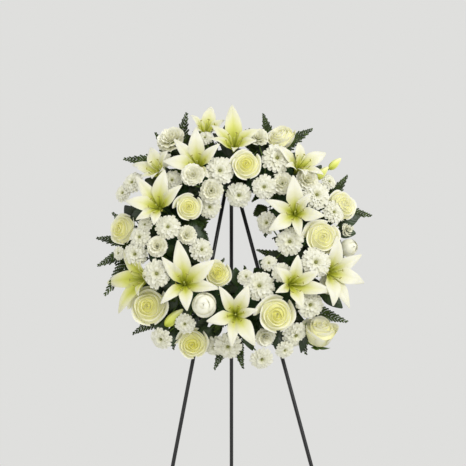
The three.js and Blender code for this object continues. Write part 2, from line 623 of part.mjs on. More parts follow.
// The cross bars lie behind the tray, and the rest pegs reach forward under it. How far a leg is to
// the right at a height over the ring's middle:
const legRight = (slope, up) => APEX_RIGHT + slope * (APEX_UP - up);
const along = (right, depth, up) => new Vector3(right, depth, up);
const upperMiddle = (legRight(LEFT_SLOPE, UPPER_BAR_UP) + legRight(RIGHT_SLOPE, UPPER_BAR_UP)) / 2;
stand('upper_bar', rod(
  along(upperMiddle - UPPER_BAR_LENGTH / 2, BAR_PLANE, UPPER_BAR_UP),
  along(upperMiddle + UPPER_BAR_LENGTH / 2, BAR_PLANE, UPPER_BAR_UP), BAR,
), COLOURS.black);
stand('lower_bar', rod(
  along(legRight(LEFT_SLOPE, LOWER_BAR_UP) - LOWER_BAR_PAST, BAR_PLANE, LOWER_BAR_UP),
  along(legRight(RIGHT_SLOPE, LOWER_BAR_UP) + LOWER_BAR_PAST, BAR_PLANE, LOWER_BAR_UP), BAR,
), COLOURS.black);
const pegReach = outerWall + TOUCH + BAR;
const pegUp = -Math.sqrt(pegReach ** 2 - PEG_UNDER ** 2);
for (const [name, side] of [['left_rest_peg', -1], ['right_rest_peg', 1]]) {
  const [back, front] = [LEG_PLANE - ROD - TOUCH, PEG_FRONT];
  stand(name, rod(along(side * PEG_UNDER, back, pegUp), along(side * PEG_UNDER, front, pegUp), BAR), COLOURS.black);
}

const lilies = LILIES.map((lily) => {
  const frame = bloomFrame(seat(...lily.at, LILY_STAND, lily.face));
  const base = new Vector3(0, 0, -THROAT - 3).applyMatrix4(frame);
  const isFirst = !joints.has(lily.name);
  lilyThroat(lily.name, frame);
  if (isFirst) stem(lily.name, COLOURS.lily, base, 2.6);
  else sideStem(lily.name, COLOURS.lily, base, 2.2);
  return { ...lily, frame };
});

const roses = ROSES.map((rose) => {
  let frame;
  settle(rose.name, COLOURS.rose, ROSE_DROPS, (drop) => {
    frame = bloomFrame(seat(...rose.at, ROSE_STAND, rose.face, drop));
    return roseHeart(rose.size, frame);
  });
  stem(rose.name, COLOURS.rose, new Vector3(0, 0, -0.46 * rose.size).applyMatrix4(frame), 2.4);
  return { ...rose, frame };
});

SPRAYS.forEach(spray);
BUDS.forEach(bud);

for (const { name, frame, petals } of lilies) {
  petals.forEach(([angle, reach], i) => {
    const isSepal = i % 2 === 1;
    const width = reach * (isSepal ? 0.38 : 0.5) + 8;
    settle(name, COLOURS.lily, PETAL_TRIES, (lift, shorten) => (
      lilyPetal(frame, rad(angle), reach, width, isSepal, lift, shorten)));
  });
}

for (const { name, frame, size } of roses) {
  for (let i = 0; i < 5; i++) {
    settle(name, COLOURS.rose, ROSE_PETALS, (close, shorten) => rosePetal(
      frame, size, rad(72 * i + 20), rad(44), [0.11, -0.36], [0.48, 0], close, shorten, 2,
    ));
  }
}

FERN_BUNCHES.forEach(fernBunch);
for (const { name, at, tips } of LEAFY_STEMS) {
  stem(name, COLOURS.leaf, seat(...at, 60).at);
  for (const tip of tips) {
    frond(name, COLOURS.leaf, joints.get(name), tip, -45, (long) => leafOutline(long, 28, 0.4));
  }
}
for (const { name, tip, wide } of LEAVES) {
  frond(name, nodes.get(name).colour, joints.get(name), tip, -40, (long) => leafOutline(long, wide, 0.4));
}

const wreath = new THREE.Group();
wreath.rotation.x = -LEAN;
wreath.position.z = WREATH_HEIGHT;
nodes.get('foam_ring').parts = [foam.subtract(wasm.Manifold.union(holes))];
for (const [name, { parts, colour }] of nodes) {
  const whole = wasm.Manifold.union(parts).simplify(SMALLEST_EDGE);
  const bodies = whole.decompose().sort((a, b) => b.volume() - a.volume());
  if (bodies.length > 1 && bodies[1].volume() > 0) throw new Error(`${name} has a loose piece`);
  wreath.add(meshOf(name, bodies[0], colour));
}

// The legs stand on the floor, cut level. A point of the leaning ring in the upright frame:
const upright = (right, depth, up) => new Vector3(
  right,
  depth * Math.cos(LEAN) + up * Math.sin(LEAN),
  WREATH_HEIGHT - depth * Math.sin(LEAN) + up * Math.cos(LEAN),
);
const FLOOR = solid(new THREE.BoxGeometry(3000, 3000, 200).translate(0, 0, -100));
const legEnd = -1040; // past the floor, before the level cut
function frontLeg(slope) {
  return rod(
    upright(legRight(slope, LEG_TOP), LEG_PLANE, LEG_TOP),
    upright(legRight(slope, legEnd), LEG_PLANE, legEnd), ROD, ROD_SIDES,
  ).subtract(FLOOR);
}

// The hinge pin fills the space between the front legs, less a little at its ends.
const pinEnd = (slope) => legRight(slope, PIN_UP) - Math.sign(slope) * (ROD + PIN * Math.abs(slope) + 2 * TOUCH);
const pinMiddle = (pinEnd(LEFT_SLOPE) + pinEnd(RIGHT_SLOPE)) / 2;
const pin = rod(
  upright(pinEnd(LEFT_SLOPE), LEG_PLANE, PIN_UP), upright(pinEnd(RIGHT_SLOPE), LEG_PLANE, PIN_UP), PIN, 16,
);

// The back leg: a rod welded to an eye round the pin, and a stop bar that meets the front legs from
// behind when the leg is open.
function backLeg() {
  const hinge = upright(pinMiddle, LEG_PLANE, PIN_UP);
  const ring = [[EYE_HOLE, -EYE_WIDTH / 2], [EYE_OUTER, -EYE_WIDTH / 2], [EYE_OUTER, EYE_WIDTH / 2], [EYE_HOLE, EYE_WIDTH / 2]];
  const eye = lathe(ring, 24).rotate([0, 0, 90]).translate(hinge.toArray());
  const down = new Vector3(0, Math.sin(BACK_SPREAD), -Math.cos(BACK_SPREAD));
  const leg = rod(
    hinge.clone().addScaledVector(down, (EYE_HOLE + EYE_OUTER) / 2),
    hinge.clone().addScaledVector(down, 1250), ROD, ROD_SIDES,
  );
  const stopDepth = LEG_PLANE + ROD + TOUCH + BAR;
  const stop = rod(
    upright(pinMiddle - STOP_LENGTH / 2, stopDepth, PIN_UP + STOP_UP),
    upright(pinMiddle + STOP_LENGTH / 2, stopDepth, PIN_UP + STOP_UP), BAR,
  );
  const bore = rod(
    hinge.clone().add(new Vector3(-EYE_WIDTH, 0, 0)), hinge.clone().add(new Vector3(EYE_WIDTH, 0, 0)), EYE_HOLE, 24,
  );
  return wasm.Manifold.union([eye, leg.subtract(FLOOR), stop.subtract(bore)]);
}

const model = new THREE.Group();
model.add(wreath);
for (const [name, shape] of [
  ['front_left_leg', frontLeg(LEFT_SLOPE)], ['front_right_leg', frontLeg(RIGHT_SLOPE)],
  ['hinge_pin', pin], ['back_leg', backLeg()],
]) {
  model.add(meshOf(name, shape, COLOURS.black, 0.4));
}

// The origin is under the middle of the wreath and easel.
const bounds = new THREE.Box3().setFromObject(model, true);
const middle = bounds.getCenter(new Vector3());
model.position.set(-middle.x, -middle.y, 0);

export default model;
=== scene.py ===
import bpy
import mathutils
import numpy as np
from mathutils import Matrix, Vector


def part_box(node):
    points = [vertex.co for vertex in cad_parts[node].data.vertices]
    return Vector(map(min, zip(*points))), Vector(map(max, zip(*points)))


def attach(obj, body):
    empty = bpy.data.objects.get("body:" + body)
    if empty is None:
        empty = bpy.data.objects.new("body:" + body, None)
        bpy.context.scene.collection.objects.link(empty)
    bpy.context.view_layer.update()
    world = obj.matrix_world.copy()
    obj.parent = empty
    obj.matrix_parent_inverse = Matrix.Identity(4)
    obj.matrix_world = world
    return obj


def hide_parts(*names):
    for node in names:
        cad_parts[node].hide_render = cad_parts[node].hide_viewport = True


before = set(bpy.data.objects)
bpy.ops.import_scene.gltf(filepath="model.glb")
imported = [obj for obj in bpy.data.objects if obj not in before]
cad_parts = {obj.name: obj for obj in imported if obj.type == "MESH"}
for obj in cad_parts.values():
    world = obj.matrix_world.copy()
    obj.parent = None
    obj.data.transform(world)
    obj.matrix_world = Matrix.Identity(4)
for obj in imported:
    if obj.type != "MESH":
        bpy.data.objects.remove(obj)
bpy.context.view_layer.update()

# Place of the wreath
# The ring of flowers leans back on its easel by nine degrees. Its tray is centred on it, a little
# behind the ring's middle plane, so the tray's box gives the middle of the ring.
MM = 0.001
LEAN = np.radians(9)
TRAY_BEHIND = 19
BACKWARD = np.array([0, np.cos(LEAN), -np.sin(LEAN)])
UPWARD = np.array([0, np.sin(LEAN), np.cos(LEAN)])
tray_low, tray_high = (np.array(corner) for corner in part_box("ring_tray"))
RING_CENTRE = (tray_low + tray_high) / 2 - TRAY_BEHIND * MM * BACKWARD


def to_row(points):
    """Ring millimetres (right, depth behind the middle plane, up along the ring) as metres in the row frame:
    centre + right * X + depth * BACKWARD + up * UPWARD."""
    points = np.asarray(points, float) * MM
    return (RING_CENTRE + points[..., :1] * np.array([1, 0, 0])
            + points[..., 1:2] * BACKWARD + points[..., 2:] * UPWARD)


# Camera
# It stands level with the ring, straight in front of it and three and a half metres away, and the
# middle of the ring lies a little right of and below the middle of the picture.
VIEW_FROM = 3500
PIXEL = 2.1  # millimetres a pixel at the ring
PICTURE = 466  # pixels
RING_FROM_MIDDLE = np.array([2.5, 3.0])  # pixels right and down
SENSOR = 36

eye = RING_CENTRE + MM * np.array([-RING_FROM_MIDDLE[0] * PIXEL, -VIEW_FROM, RING_FROM_MIDDLE[1] * PIXEL])
camera = bpy.data.objects.new("camera", bpy.data.cameras.new("camera"))
camera.location = eye
camera.rotation_euler = (np.pi / 2, 0, 0)
camera.data.sensor_width = SENSOR
camera.data.lens = SENSOR * VIEW_FROM / (PIXEL * PICTURE)
bpy.context.scene.collection.objects.link(camera)
bpy.context.scene.camera = camera


# Floor and light
# A round pale studio floor of painted board, and the soft light of one big window panel high on the
# right, a weaker one on the left, and pale walls all round.
FLOOR_RADIUS = 2.6
WALL_HEX = "DFDFDD"
FLOOR_HEX, FLOOR_PALE_HEX = "E3E3E1", "E7E7E5"


def linear(hex_colour):
    """An sRGB hex colour as linear red, green, blue and 1: c / 12.92 up to 0.04045, and above that
    ((c + 0.055) / 1.055) ** 2.4."""
    c = np.array([int(hex_colour[i:i + 2], 16) for i in (0, 2, 4)]) / 255
    return (*np.where(c <= 0.04045, c / 12.92, ((c + 0.055) / 1.055) ** 2.4), 1.0)


def plug(tree, value, socket):
    """Gives a socket a value, or links it to the output of another node."""
    if isinstance(value, bpy.types.NodeSocket):
        tree.links.new(value, socket)
    else:
        socket.default_value = value


def add(tree, kind, inputs=(), **settings):
    """Adds one shader node. Settings are its properties, and inputs gives sockets their values or links."""
    node = tree.nodes.new("ShaderNode" + kind)
    for name, value in settings.items():
        setattr(node, name, value)
    for socket, value in dict(inputs).items():
        plug(tree, value, node.inputs[socket])
    return node


def ramp(tree, value, *stops):
    """The colour of a ramp at a value. Its stops are pairs of a position and a hex colour."""
    node = add(tree, "ValToRGB", {"Fac": value})
    elements = node.color_ramp.elements
    while len(elements) < len(stops):
        elements.new(1)
    for element, (position, hex_colour) in zip(elements, stops):
        element.position = position
        element.color = linear(hex_colour)
    return node.outputs[0]


def material(name):
    """A new material, as its node tree and itself."""
    made = bpy.data.materials.new(name)
    made.use_nodes = True
    return made.node_tree, made


def coat(tree, colour, rough, height=None, strength=0, deep=0):
    """Gives the shader its colour and roughness, and a bump `deep` metres high where there is a height."""
    shader = tree.nodes["Principled BSDF"]
    plug(tree, colour, shader.inputs["Base Color"])
    plug(tree, rough, shader.inputs["Roughness"])
    if height is not None:
        bump = add(tree, "Bump", {"Height": height, "Strength": strength, "Distance": deep})
        plug(tree, bump.outputs[0], shader.inputs["Normal"])


world = bpy.data.worlds.new("pale_walls")
world.use_nodes = True
world.node_tree.nodes["Background"].inputs["Color"].default_value = linear(WALL_HEX)
world.node_tree.nodes["Background"].inputs["Strength"].default_value = 1.0
bpy.context.scene.world = world
bpy.context.scene.view_settings.view_transform = "Standard"

for name, spot, size, power in (
    ("window_panel", (1.7, -2.8, 2.7), 2.0, 62),
    ("left_panel", (-2.4, -2.4, 1.7), 1.6, 9),
):
    light = bpy.data.objects.new(name, bpy.data.lights.new(name, "AREA"))
    light.data.size = size
    light.data.energy = power
    light.location = spot
    aim = mathutils.Vector(RING_CENTRE) - light.location
    light.rotation_euler = aim.to_track_quat("-Z", "Y").to_euler()
    bpy.context.scene.collection.objects.link(light)

turns = np.linspace(0, 2 * np.pi, 96, endpoint=False)
floor_mesh = bpy.data.meshes.new("floor")
floor_mesh.from_pydata(
    np.stack([FLOOR_RADIUS * np.cos(turns), FLOOR_RADIUS * np.sin(turns), 0 * turns], -1).tolist(), [],
    [list(range(len(turns)))])
floor = bpy.data.objects.new("floor", floor_mesh)
bpy.context.scene.collection.objects.link(floor)
tree, painted_board = material("painted_board")
grain = add(tree, "TexNoise", {"Scale": 3.0, "Detail": 3.0}).outputs["Fac"]
coat(tree, ramp(tree, grain, (0.3, FLOOR_HEX), (0.7, FLOOR_PALE_HEX)), 0.7)
floor_mesh.materials.append(painted_board)


# Easel: front legs, cross bars and rest pegs
# Cold drawn steel wire of eight and six millimetres, cut, bent and spot welded, then dipped in
# black enamel, which runs a little and leaves soft ends and thick beads round the welds.
ROD = 4
BAR = 3
BAR_DEPTH = 33.3
LEG_DEPTH = 40.6
APEX_RIGHT, APEX_UP = -11, 159
LEG_TOP = 139
LEFT_SLOPE, RIGHT_SLOPE = -0.188, 0.265
UPPER_BAR_UP, UPPER_BAR_HALF = 130, 30
LOWER_BAR_UP, LOWER_BAR_PAST = -130, 12
PEG_RIGHT, PEG_FRONT = 75, 1
PEG_REACH = 190.2  # from the ring's middle: the tray's rim, the peg's own radius and a small gap
PEG_UP = -np.sqrt(PEG_REACH ** 2 - PEG_RIGHT ** 2)
WELD = 4.6
SOFT_END = 0.7
ROD_SIDES, BEAD_SIDES = 24, 20
SHARP_FROM = np.radians(70)


def quads(number):
    """Four-sided faces between the neighbours of a grid of point numbers."""
    return np.stack([number[:-1, :-1], number[:-1, 1:], number[1:, 1:], number[1:, :-1]], -1).reshape(-1, 4)


def tube(path, radius, around):
    """A closed round tube along a path (n, 3): at each point a ring of the given radius, at right angles
    to the path, and a point at each end. A triangle is a face whose fourth number is -1."""
    path = np.asarray(path, float)
    radius = np.broadcast_to(radius, len(path))
    ahead = np.gradient(path, axis=0)
    ahead /= np.linalg.norm(ahead, axis=1, keepdims=True)
    mean = ahead.mean(0)
    side = np.cross(ahead, np.eye(3)[np.argmin(np.abs(mean))])
    side /= np.linalg.norm(side, axis=1, keepdims=True)
    other = np.cross(ahead, side)
    turn = np.linspace(0, 2 * np.pi, around, endpoint=False)[None, :, None]
    rings = path[:, None] + radius[:, None, None] * (
        np.cos(turn) * side[:, None] + np.sin(turn) * other[:, None])
    number = np.arange(len(path) * around).reshape(len(path), around)
    number = np.concatenate([number, number[:, :1]], 1)
    first, last = len(path) * around, len(path) * around + 1
    gap = np.full(around, -1)
    ends = [np.stack([number[0, 1:], number[0, :-1], np.full(around, first), gap], -1),
            np.stack([number[-1, :-1], number[-1, 1:], np.full(around, last), gap], -1)]
    points = np.concatenate([rings.reshape(-1, 3), path[:1], path[-1:]])
    along = np.concatenate([np.repeat(np.linspace(0, 1, len(path)), around), [0, 1]])
    across = np.concatenate([np.tile(np.linspace(0, 1, around), len(path)), [0.5, 0.5]])
    return {"points": points, "faces": np.concatenate([quads(number), *ends]),
            "uv": np.stack([across, along], -1), "sheet": np.zeros(len(points), int)}


def rod(start, end, radius):
    """A straight wire between two points, its ends rounded off by the enamel over SOFT_END."""
    start, end = np.asarray(start, float), np.asarray(end, float)
    long = np.linalg.norm(end - start)
    arc = np.linspace(0, np.pi / 2, 4)
    step = SOFT_END * (1 - np.cos(arc)) / long
    shrink = SOFT_END * (1 - np.sin(arc))
    t = np.concatenate([step, 1 - step[::-1]])
    radius = radius - np.concatenate([shrink, shrink[::-1]])
    return tube(start + (end - start) * t[:, None], radius, ROD_SIDES)


def bead(middle, size):
    """A weld bead: a ball flattened to two thirds of its size towards the front, with a dip and swell of
    a tenth of its size round it."""
    lift = np.linspace(-0.98, 0.98, 9)
    ball = tube(np.outer(lift, [0, 0, 1]), np.sqrt(1 - lift ** 2), BEAD_SIDES)
    x, y, z = ball["points"].T
    swell = 1 + 0.1 * np.sin(5 * x + 3 * z) * np.cos(4 * y)
    ball["points"] = middle + size * np.stack([x * swell, 0.67 * y * swell, z * swell], -1)
    return ball


def piece(name, parts, body, replaces):
    """One object in the row frame from several meshes in metres. Each part is a mesh, its material and,
    where it has them, its tint and layer, which are kept on its points. Each of these is a number, or
    one for each sheet of the mesh."""
    points, faces, uv, tint, layer, kinds = [], [], [], [], [], []
    materials = list(dict.fromkeys(part[1] for part in parts))
    start = 0
    for mesh, stuff, *own in parts:
        shade, depth = own + [0.5, 0][len(own):]
        points.append(mesh["points"])
        faces.append(np.where(mesh["faces"] < 0, -1, mesh["faces"] + start))
        uv.append(mesh["uv"])
        tint.append(np.broadcast_to(shade, mesh["sheet"].max() + 1)[mesh["sheet"]])
        layer.append(np.broadcast_to(depth, mesh["sheet"].max() + 1)[mesh["sheet"]])
        kinds.append(np.full(len(mesh["faces"]), materials.index(stuff)))
        start += len(mesh["points"])
    points, faces = np.concatenate(points), np.concatenate(faces)
    flat = faces[faces >= 0]
    sides = (faces >= 0).sum(1)
    made = bpy.data.meshes.new(name)
    made.vertices.add(len(points))
    made.vertices.foreach_set("co", points.astype(np.float32).ravel())
    made.loops.add(len(flat))
    made.loops.foreach_set("vertex_index", flat.astype(np.int32))
    made.polygons.add(len(faces))
    made.polygons.foreach_set("loop_start", (np.cumsum(sides) - sides).astype(np.int32))
    made.polygons.foreach_set("material_index", np.concatenate(kinds).astype(np.int32))
    made.update(calc_edges=True)
    made.uv_layers.new(name="surface").data.foreach_set(
        "uv", np.concatenate(uv)[flat].astype(np.float32).ravel())
    for title, values in (("tint", tint), ("layer", layer)):
        made.attributes.new(title, "FLOAT", "POINT").data.foreach_set(
            "value", np.concatenate(values).astype(np.float32))
    for stuff in materials:
        made.materials.append(stuff)
    made.shade_smooth()
    made.set_sharp_from_angle(angle=SHARP_FROM)
    made.validate()
    shown = bpy.data.objects.new(name, made)
    bpy.context.scene.collection.objects.link(shown)
    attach(shown, body)
    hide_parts(*replaces)


def row(mesh):
    """A mesh in ring millimetres as one in the row frame's metres."""
    return {**mesh, "points": to_row(mesh["points"])}


def noise(tree, scale, detail=2.0):
    """Cloudy noise in Object coordinates, with `scale` waves to the metre."""
    where = add(tree, "TexCoord").outputs["Object"]
    return add(tree, "TexNoise", {"Vector": where, "Scale": scale, "Detail": detail}).outputs["Fac"]


# Black stoving enamel on steel gives a deep satin black with a soft orange-peel surface.
tree, black_enamel = material("black_stoving_enamel")
dust = noise(tree, 24.0, 4.0)
gloss = add(tree, "MapRange", {"Value": dust, "To Min": 0.28, "To Max": 0.46}).outputs[0]
coat(tree, ramp(tree, dust, (0.35, "0B0B0C"), (0.75, "18181A")), gloss, noise(tree, 420.0), 0.25, 0.0004)


def leg_right(slope, up):
    """How far right of the ring's middle a front leg is at a height: apex + slope * (apex height - up)."""
    return APEX_RIGHT + slope * (APEX_UP - up)


def wire(name, meshes, body, node):
    """A piece of enamelled wire from its rods and weld beads, in place of a CAD node."""
    piece(name, [(mesh, black_enamel) for mesh in meshes], body, [node])


FOOT_UP = -(RING_CENTRE[2] / MM - LEG_DEPTH * np.sin(LEAN)) / np.cos(LEAN)
for side, slope in (("left", LEFT_SLOPE), ("right", RIGHT_SLOPE)):
    top, foot = ((leg_right(slope, up), LEG_DEPTH, up) for up in (LEG_TOP, FOOT_UP))
    leg = row(rod(top, foot, ROD))
    leg["points"][:, 2] = np.maximum(leg["points"][:, 2], 0)
    welds = [row(bead((leg_right(slope, up), (LEG_DEPTH + BAR_DEPTH) / 2, up), WELD))
             for up in (UPPER_BAR_UP, LOWER_BAR_UP)]
    wire(f"{side}_leg_wire", [leg, *welds], "stand", f"front_{side}_leg")
    peg_right = PEG_RIGHT * np.sign(slope)
    root = (peg_right, LEG_DEPTH - ROD, PEG_UP)
    peg = rod(root, (peg_right, PEG_FRONT, PEG_UP), BAR)
    wire(f"{side}_peg_wire", [row(peg), row(bead(root, WELD))], "stand", f"{side}_rest_peg")
upper_middle = (leg_right(LEFT_SLOPE, UPPER_BAR_UP) + leg_right(RIGHT_SLOPE, UPPER_BAR_UP)) / 2
for title, up, left, right in (
    ("upper", UPPER_BAR_UP, upper_middle - UPPER_BAR_HALF, upper_middle + UPPER_BAR_HALF),
    ("lower", LOWER_BAR_UP, leg_right(LEFT_SLOPE, LOWER_BAR_UP) - LOWER_BAR_PAST,
     leg_right(RIGHT_SLOPE, LOWER_BAR_UP) + LOWER_BAR_PAST),
):
    wire(f"{title}_bar_wire", [row(rod((left, BAR_DEPTH, up), (right, BAR_DEPTH, up), BAR))],
         "stand", f"{title}_bar")


# Hinge pin and back leg
# The pin is a short piece of seven millimetre wire between the front legs. The back leg's eye turns
# on it, and a stop bar welded behind the eye meets the front legs when the easel is open.
PIN = 3.5
EYE_HOLE, EYE_OUTER, EYE_HALF = 4.1, 7.2, 5
EYE_SOFT_IN, EYE_SOFT_OUT = 0.8, 1
LEG_PAST_HOLE = 1.2
STOP_UP, STOP_HALF, STOP_GAP = 5, 22, 0.3
BACK_SPREAD = np.radians(21.5)
pin_low, pin_high = (np.array(corner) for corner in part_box("hinge_pin"))
HINGE = (pin_low + pin_high) / 2 / MM
PIN_HALF = (pin_high - pin_low)[0] / 2 / MM


def wheel(profile, around=64):
    """A closed ring about the x axis: a closed profile of (radius, along x) points carried round it by
    (x, radius * cos, radius * sin)."""
    radius, x = np.asarray(profile, float).T
    turn = np.linspace(0, 2 * np.pi, around, endpoint=False)[:, None]
    points = np.stack([x + 0 * turn, radius * np.cos(turn), radius * np.sin(turn)], -1)
    number = np.arange(points[..., 0].size).reshape(points.shape[:2])
    number = np.pad(number, ((0, 1), (0, 1)), mode="wrap")
    uv = np.stack(np.meshgrid(np.linspace(0, 1, len(x)), np.linspace(0, 1, around)), -1)
    return {"points": points.reshape(-1, 3), "faces": quads(number)[:, ::-1], "uv": uv.reshape(-1, 2),
            "sheet": np.zeros(points[..., 0].size, int)}


pin = rod(HINGE - [PIN_HALF, 0, 0], HINGE + [PIN_HALF, 0, 0], PIN)
pin["points"] = pin["points"] * MM
wire("pin_wire", [pin], "stand", "hinge_pin")

down = np.array([0, np.sin(BACK_SPREAD), -np.cos(BACK_SPREAD)])
leg = rod(HINGE + down * (EYE_HOLE + LEG_PAST_HOLE), HINGE + down * HINGE[2] / np.cos(BACK_SPREAD), ROD)
leg["points"][:, 2] = np.maximum(leg["points"][:, 2], 0)
edge = [(EYE_HOLE, EYE_HALF - EYE_SOFT_IN), (EYE_HOLE + EYE_SOFT_IN, EYE_HALF),
        (EYE_OUTER - EYE_SOFT_OUT, EYE_HALF), (EYE_OUTER, EYE_HALF - EYE_SOFT_OUT)]
loop = wheel([(radius, -x) for radius, x in edge] + edge[::-1])
loop["points"] += HINGE
stop_middle = HINGE + (ROD + BAR + STOP_GAP) * BACKWARD + STOP_UP * UPWARD
stop = rod(stop_middle - [STOP_HALF, 0, 0], stop_middle + [STOP_HALF, 0, 0], BAR)
back_leg = [leg, loop, stop, bead(HINGE + down * (EYE_OUTER + 1), WELD)]
for mesh in back_leg:
    mesh["points"] = mesh["points"] * MM
wire("back_leg_wire", back_leg, "rear_leg", "back_leg")


# Tray and foam ring
# The tray is a dark green polystyrene moulding, open at the front. The ring of green floral foam
# sits in it, a fine open-cell phenolic foam that is soaked and full of stem holes.
RING_RADIUS = 145
FOAM_HALF = 39
FOAM_BACK, FOAM_SHOULDER, FOAM_FRONT = 27.2, -14, -31
FOAM_ROUND = 26
TRAY_WALL = 2.4
TRAY_SLACK = 0.5
TRAY_CORNER = 3
TRAY_BACK, TRAY_RIM = 30, 8
RING_SIDES = 144


def hoop(profile):
    """A closed ring about the wreath's axis: a closed profile of (radius, depth) points carried round it."""
    made = wheel(profile, RING_SIDES)
    depth, right, up = made["points"].T
    made["points"] = np.stack([right, depth, up], -1)
    made["faces"] = made["faces"][:, ::-1]
    return made


def cells(tree, scale):
    """Distance from the middles of small cells in Object coordinates, `scale` of them to the metre."""
    where = add(tree, "TexCoord").outputs["Object"]
    return add(tree, "TexVoronoi", {"Vector": where, "Scale": scale}).outputs["Distance"]


# Moulded polystyrene: dark green, with a faint cloud in its colour and a fine grain in its shine.
tree, tray_plastic = material("moulded_polystyrene")
shade = ramp(tree, noise(tree, 30.0, 5.0), (0.3, "16241A"), (0.7, "22332A"))
coat(tree, shade, 0.42, noise(tree, 900.0), 0.15, 0.0003)

# Wet floral foam: dark green, matt, with open cells of about a millimetre.
tree, floral_foam = material("wet_floral_foam")
shade = ramp(tree, noise(tree, 40.0, 6.0), (0.3, "1E3416"), (0.7, "33502A"))
coat(tree, shade, 0.95, cells(tree, 700.0), 0.6, 0.0008)

inner, outer = RING_RADIUS - FOAM_HALF, RING_RADIUS + FOAM_HALF
bend = np.linspace(0, np.pi / 2, 7)[1:-1]
rise = FOAM_SHOULDER - FOAM_FRONT
foam_profile = [
    (inner, FOAM_BACK), (outer, FOAM_BACK), (outer, FOAM_SHOULDER),
    *((outer - FOAM_ROUND + FOAM_ROUND * np.cos(a), FOAM_SHOULDER - rise * np.sin(a)) for a in bend),
    (outer - FOAM_ROUND, FOAM_FRONT), (inner + FOAM_ROUND, FOAM_FRONT),
    *((inner + FOAM_ROUND - FOAM_ROUND * np.sin(a), FOAM_SHOULDER - rise * np.cos(a)) for a in bend),
    (inner, FOAM_SHOULDER),
]
piece("floral_foam", [(row(hoop(foam_profile)), floral_foam)], "stand", ["foam_ring"])

inner_wall, outer_wall = inner - TRAY_SLACK - TRAY_WALL, outer + TRAY_SLACK + TRAY_WALL
tray_profile = [
    (inner_wall, TRAY_RIM + 1), (inner_wall + 1, TRAY_RIM), (inner - TRAY_SLACK, TRAY_RIM),
    (inner - TRAY_SLACK, TRAY_BACK - TRAY_WALL), (outer + TRAY_SLACK, TRAY_BACK - TRAY_WALL),
    (outer + TRAY_SLACK, TRAY_RIM), (outer_wall - 1, TRAY_RIM), (outer_wall, TRAY_RIM + 1),
    (outer_wall, TRAY_BACK - TRAY_CORNER), (outer_wall - TRAY_CORNER, TRAY_BACK),
    (inner_wall + TRAY_CORNER, TRAY_BACK), (inner_wall, TRAY_BACK - TRAY_CORNER),
]
piece("moulded_tray", [(row(hoop(tray_profile)), tray_plastic)], "stand", ["ring_tray"])


# Lilies
# Oriental lilies, cut and stripped of most of their pollen: six petals that rise from a green
# throat, open wide and curl back, each on a stout green stem that stands in the foam.
LILY_STAND = 126
THROAT = 46
TURNED = 0.55
LILY_PETAL_THICK = 0.9
SEPAL_BACK = 3
WIDTH_SHARES, WIDEST = (0.27, 0.38), (29, 36)  # of the three outer petals and of the three inner ones
STEM_END = 14
LILY_STEM, BUD_STEM, THIN_STEM = 2.6, 1.6, 2
# Node, place seen from the camera, direction it faces, greenness, and each petal's turn and reach.
LILIES = [
    ("lily_top", (-3, 206), (0.0, 0.42), 1.4,
     ((92, 96), (140, 62), (28, 58), (176, 48), (355, 46), (270, 30))),
    ("lily_upper_left", (-81, 158), None, 0.8,
     ((95, 74), (134, 72), (178, 70), (40, 60), (250, 40), (305, 42))),
    ("lily_upper_left", (-60, 236), (0.1, 0.55), 1.2,
     ((78, 62), (132, 46), (22, 42), (200, 30), (330, 30), (270, 28))),
    ("lily_upper_right", (144, 160), (0.35, 0.4), 0.7,
     ((90, 48), (146, 64), (26, 66), (200, 44), (264, 36), (330, 50))),
    ("lily_left", (-167, 67), None, 1.0,
     ((80, 76), (125, 78), (170, 66), (216, 52), (262, 42), (38, 66))),
    ("lily_left_behind", (-175, 149), (-0.55, 0.45), 0.9,
     ((119, 66), (164, 76), (60, 44), (220, 40), (285, 34), (340, 34))),
    ("lily_right", (125, 52), None, 0.6,
     ((92, 76), (158, 66), (216, 66), (282, 54), (352, 60), (50, 52))),
    ("lily_left_side", (-214, -86), (-0.72, 0.0), 1.6,
     ((180, 100), (128, 80), (228, 92), (70, 40), (285, 40), (10, 30))),
    ("lily_lower_left", (-108, -96), None, 0.9,
     ((98, 88), (132, 70), (36, 76), (349, 72), (277, 58), (221, 64))),
    ("lily_bottom", (0, -164), None, 0.7,
     ((66, 64), (121, 66), (194, 60), (262, 66), (303, 74), (10, 46))),
    ("lily_lower_right", (127, -101), (0.3, -0.1), 1.0,
     ((84, 60), (352, 84), (288, 52), (205, 44), (140, 52), (30, 64))),
    ("lily_right_side", (212, -74), (0.42, -0.05), 0.5,
     ((85, 74), (32, 76), (346, 72), (298, 82), (268, 70), (180, 36))),
]
chance = np.random.default_rng(7)


def seen(right, up, depth):
    """The ring point that the camera sees at (right, up), `depth` behind the ring's middle plane. What
    stands forward looks larger and higher, so it is set in and down by near = 1 + (depth * cos(lean)
    + up * sin(lean)) / distance."""
    near = 1 + (depth * np.cos(LEAN) + up * np.sin(LEAN)) / VIEW_FROM
    return np.array([right * near, depth, (up * near + depth * np.sin(LEAN)) / np.cos(LEAN)])


def seat(right, up, high, face=None, drop=0):
    """Where a bloom seen at (right, up) stands, and its axes (right, up, where it looks) as rows: on a
    dome round the ring's centre line, at slope = asin((reach - ring radius) / high) from straight
    forward. A stem bends back to the light, so its bloom looks out by only TURNED of that slope."""
    reach = np.hypot(right, up)
    slope = np.arcsin(np.clip((reach - RING_RADIUS) / high, -0.9, 0.9))
    turned = TURNED * slope
    looks = np.array([right / reach * np.sin(turned), -np.cos(turned), up / reach * np.sin(turned)])
    if face:
        looks = np.array([face[0], -np.sqrt(1 - face[0] ** 2 - face[1] ** 2), face[1]])
    over = np.array([0, 0, 1]) - looks * looks[2]
    over /= np.linalg.norm(over)
    return seen(right, up, drop - high * np.cos(slope)), np.stack([np.cross(over, looks), over, looks])


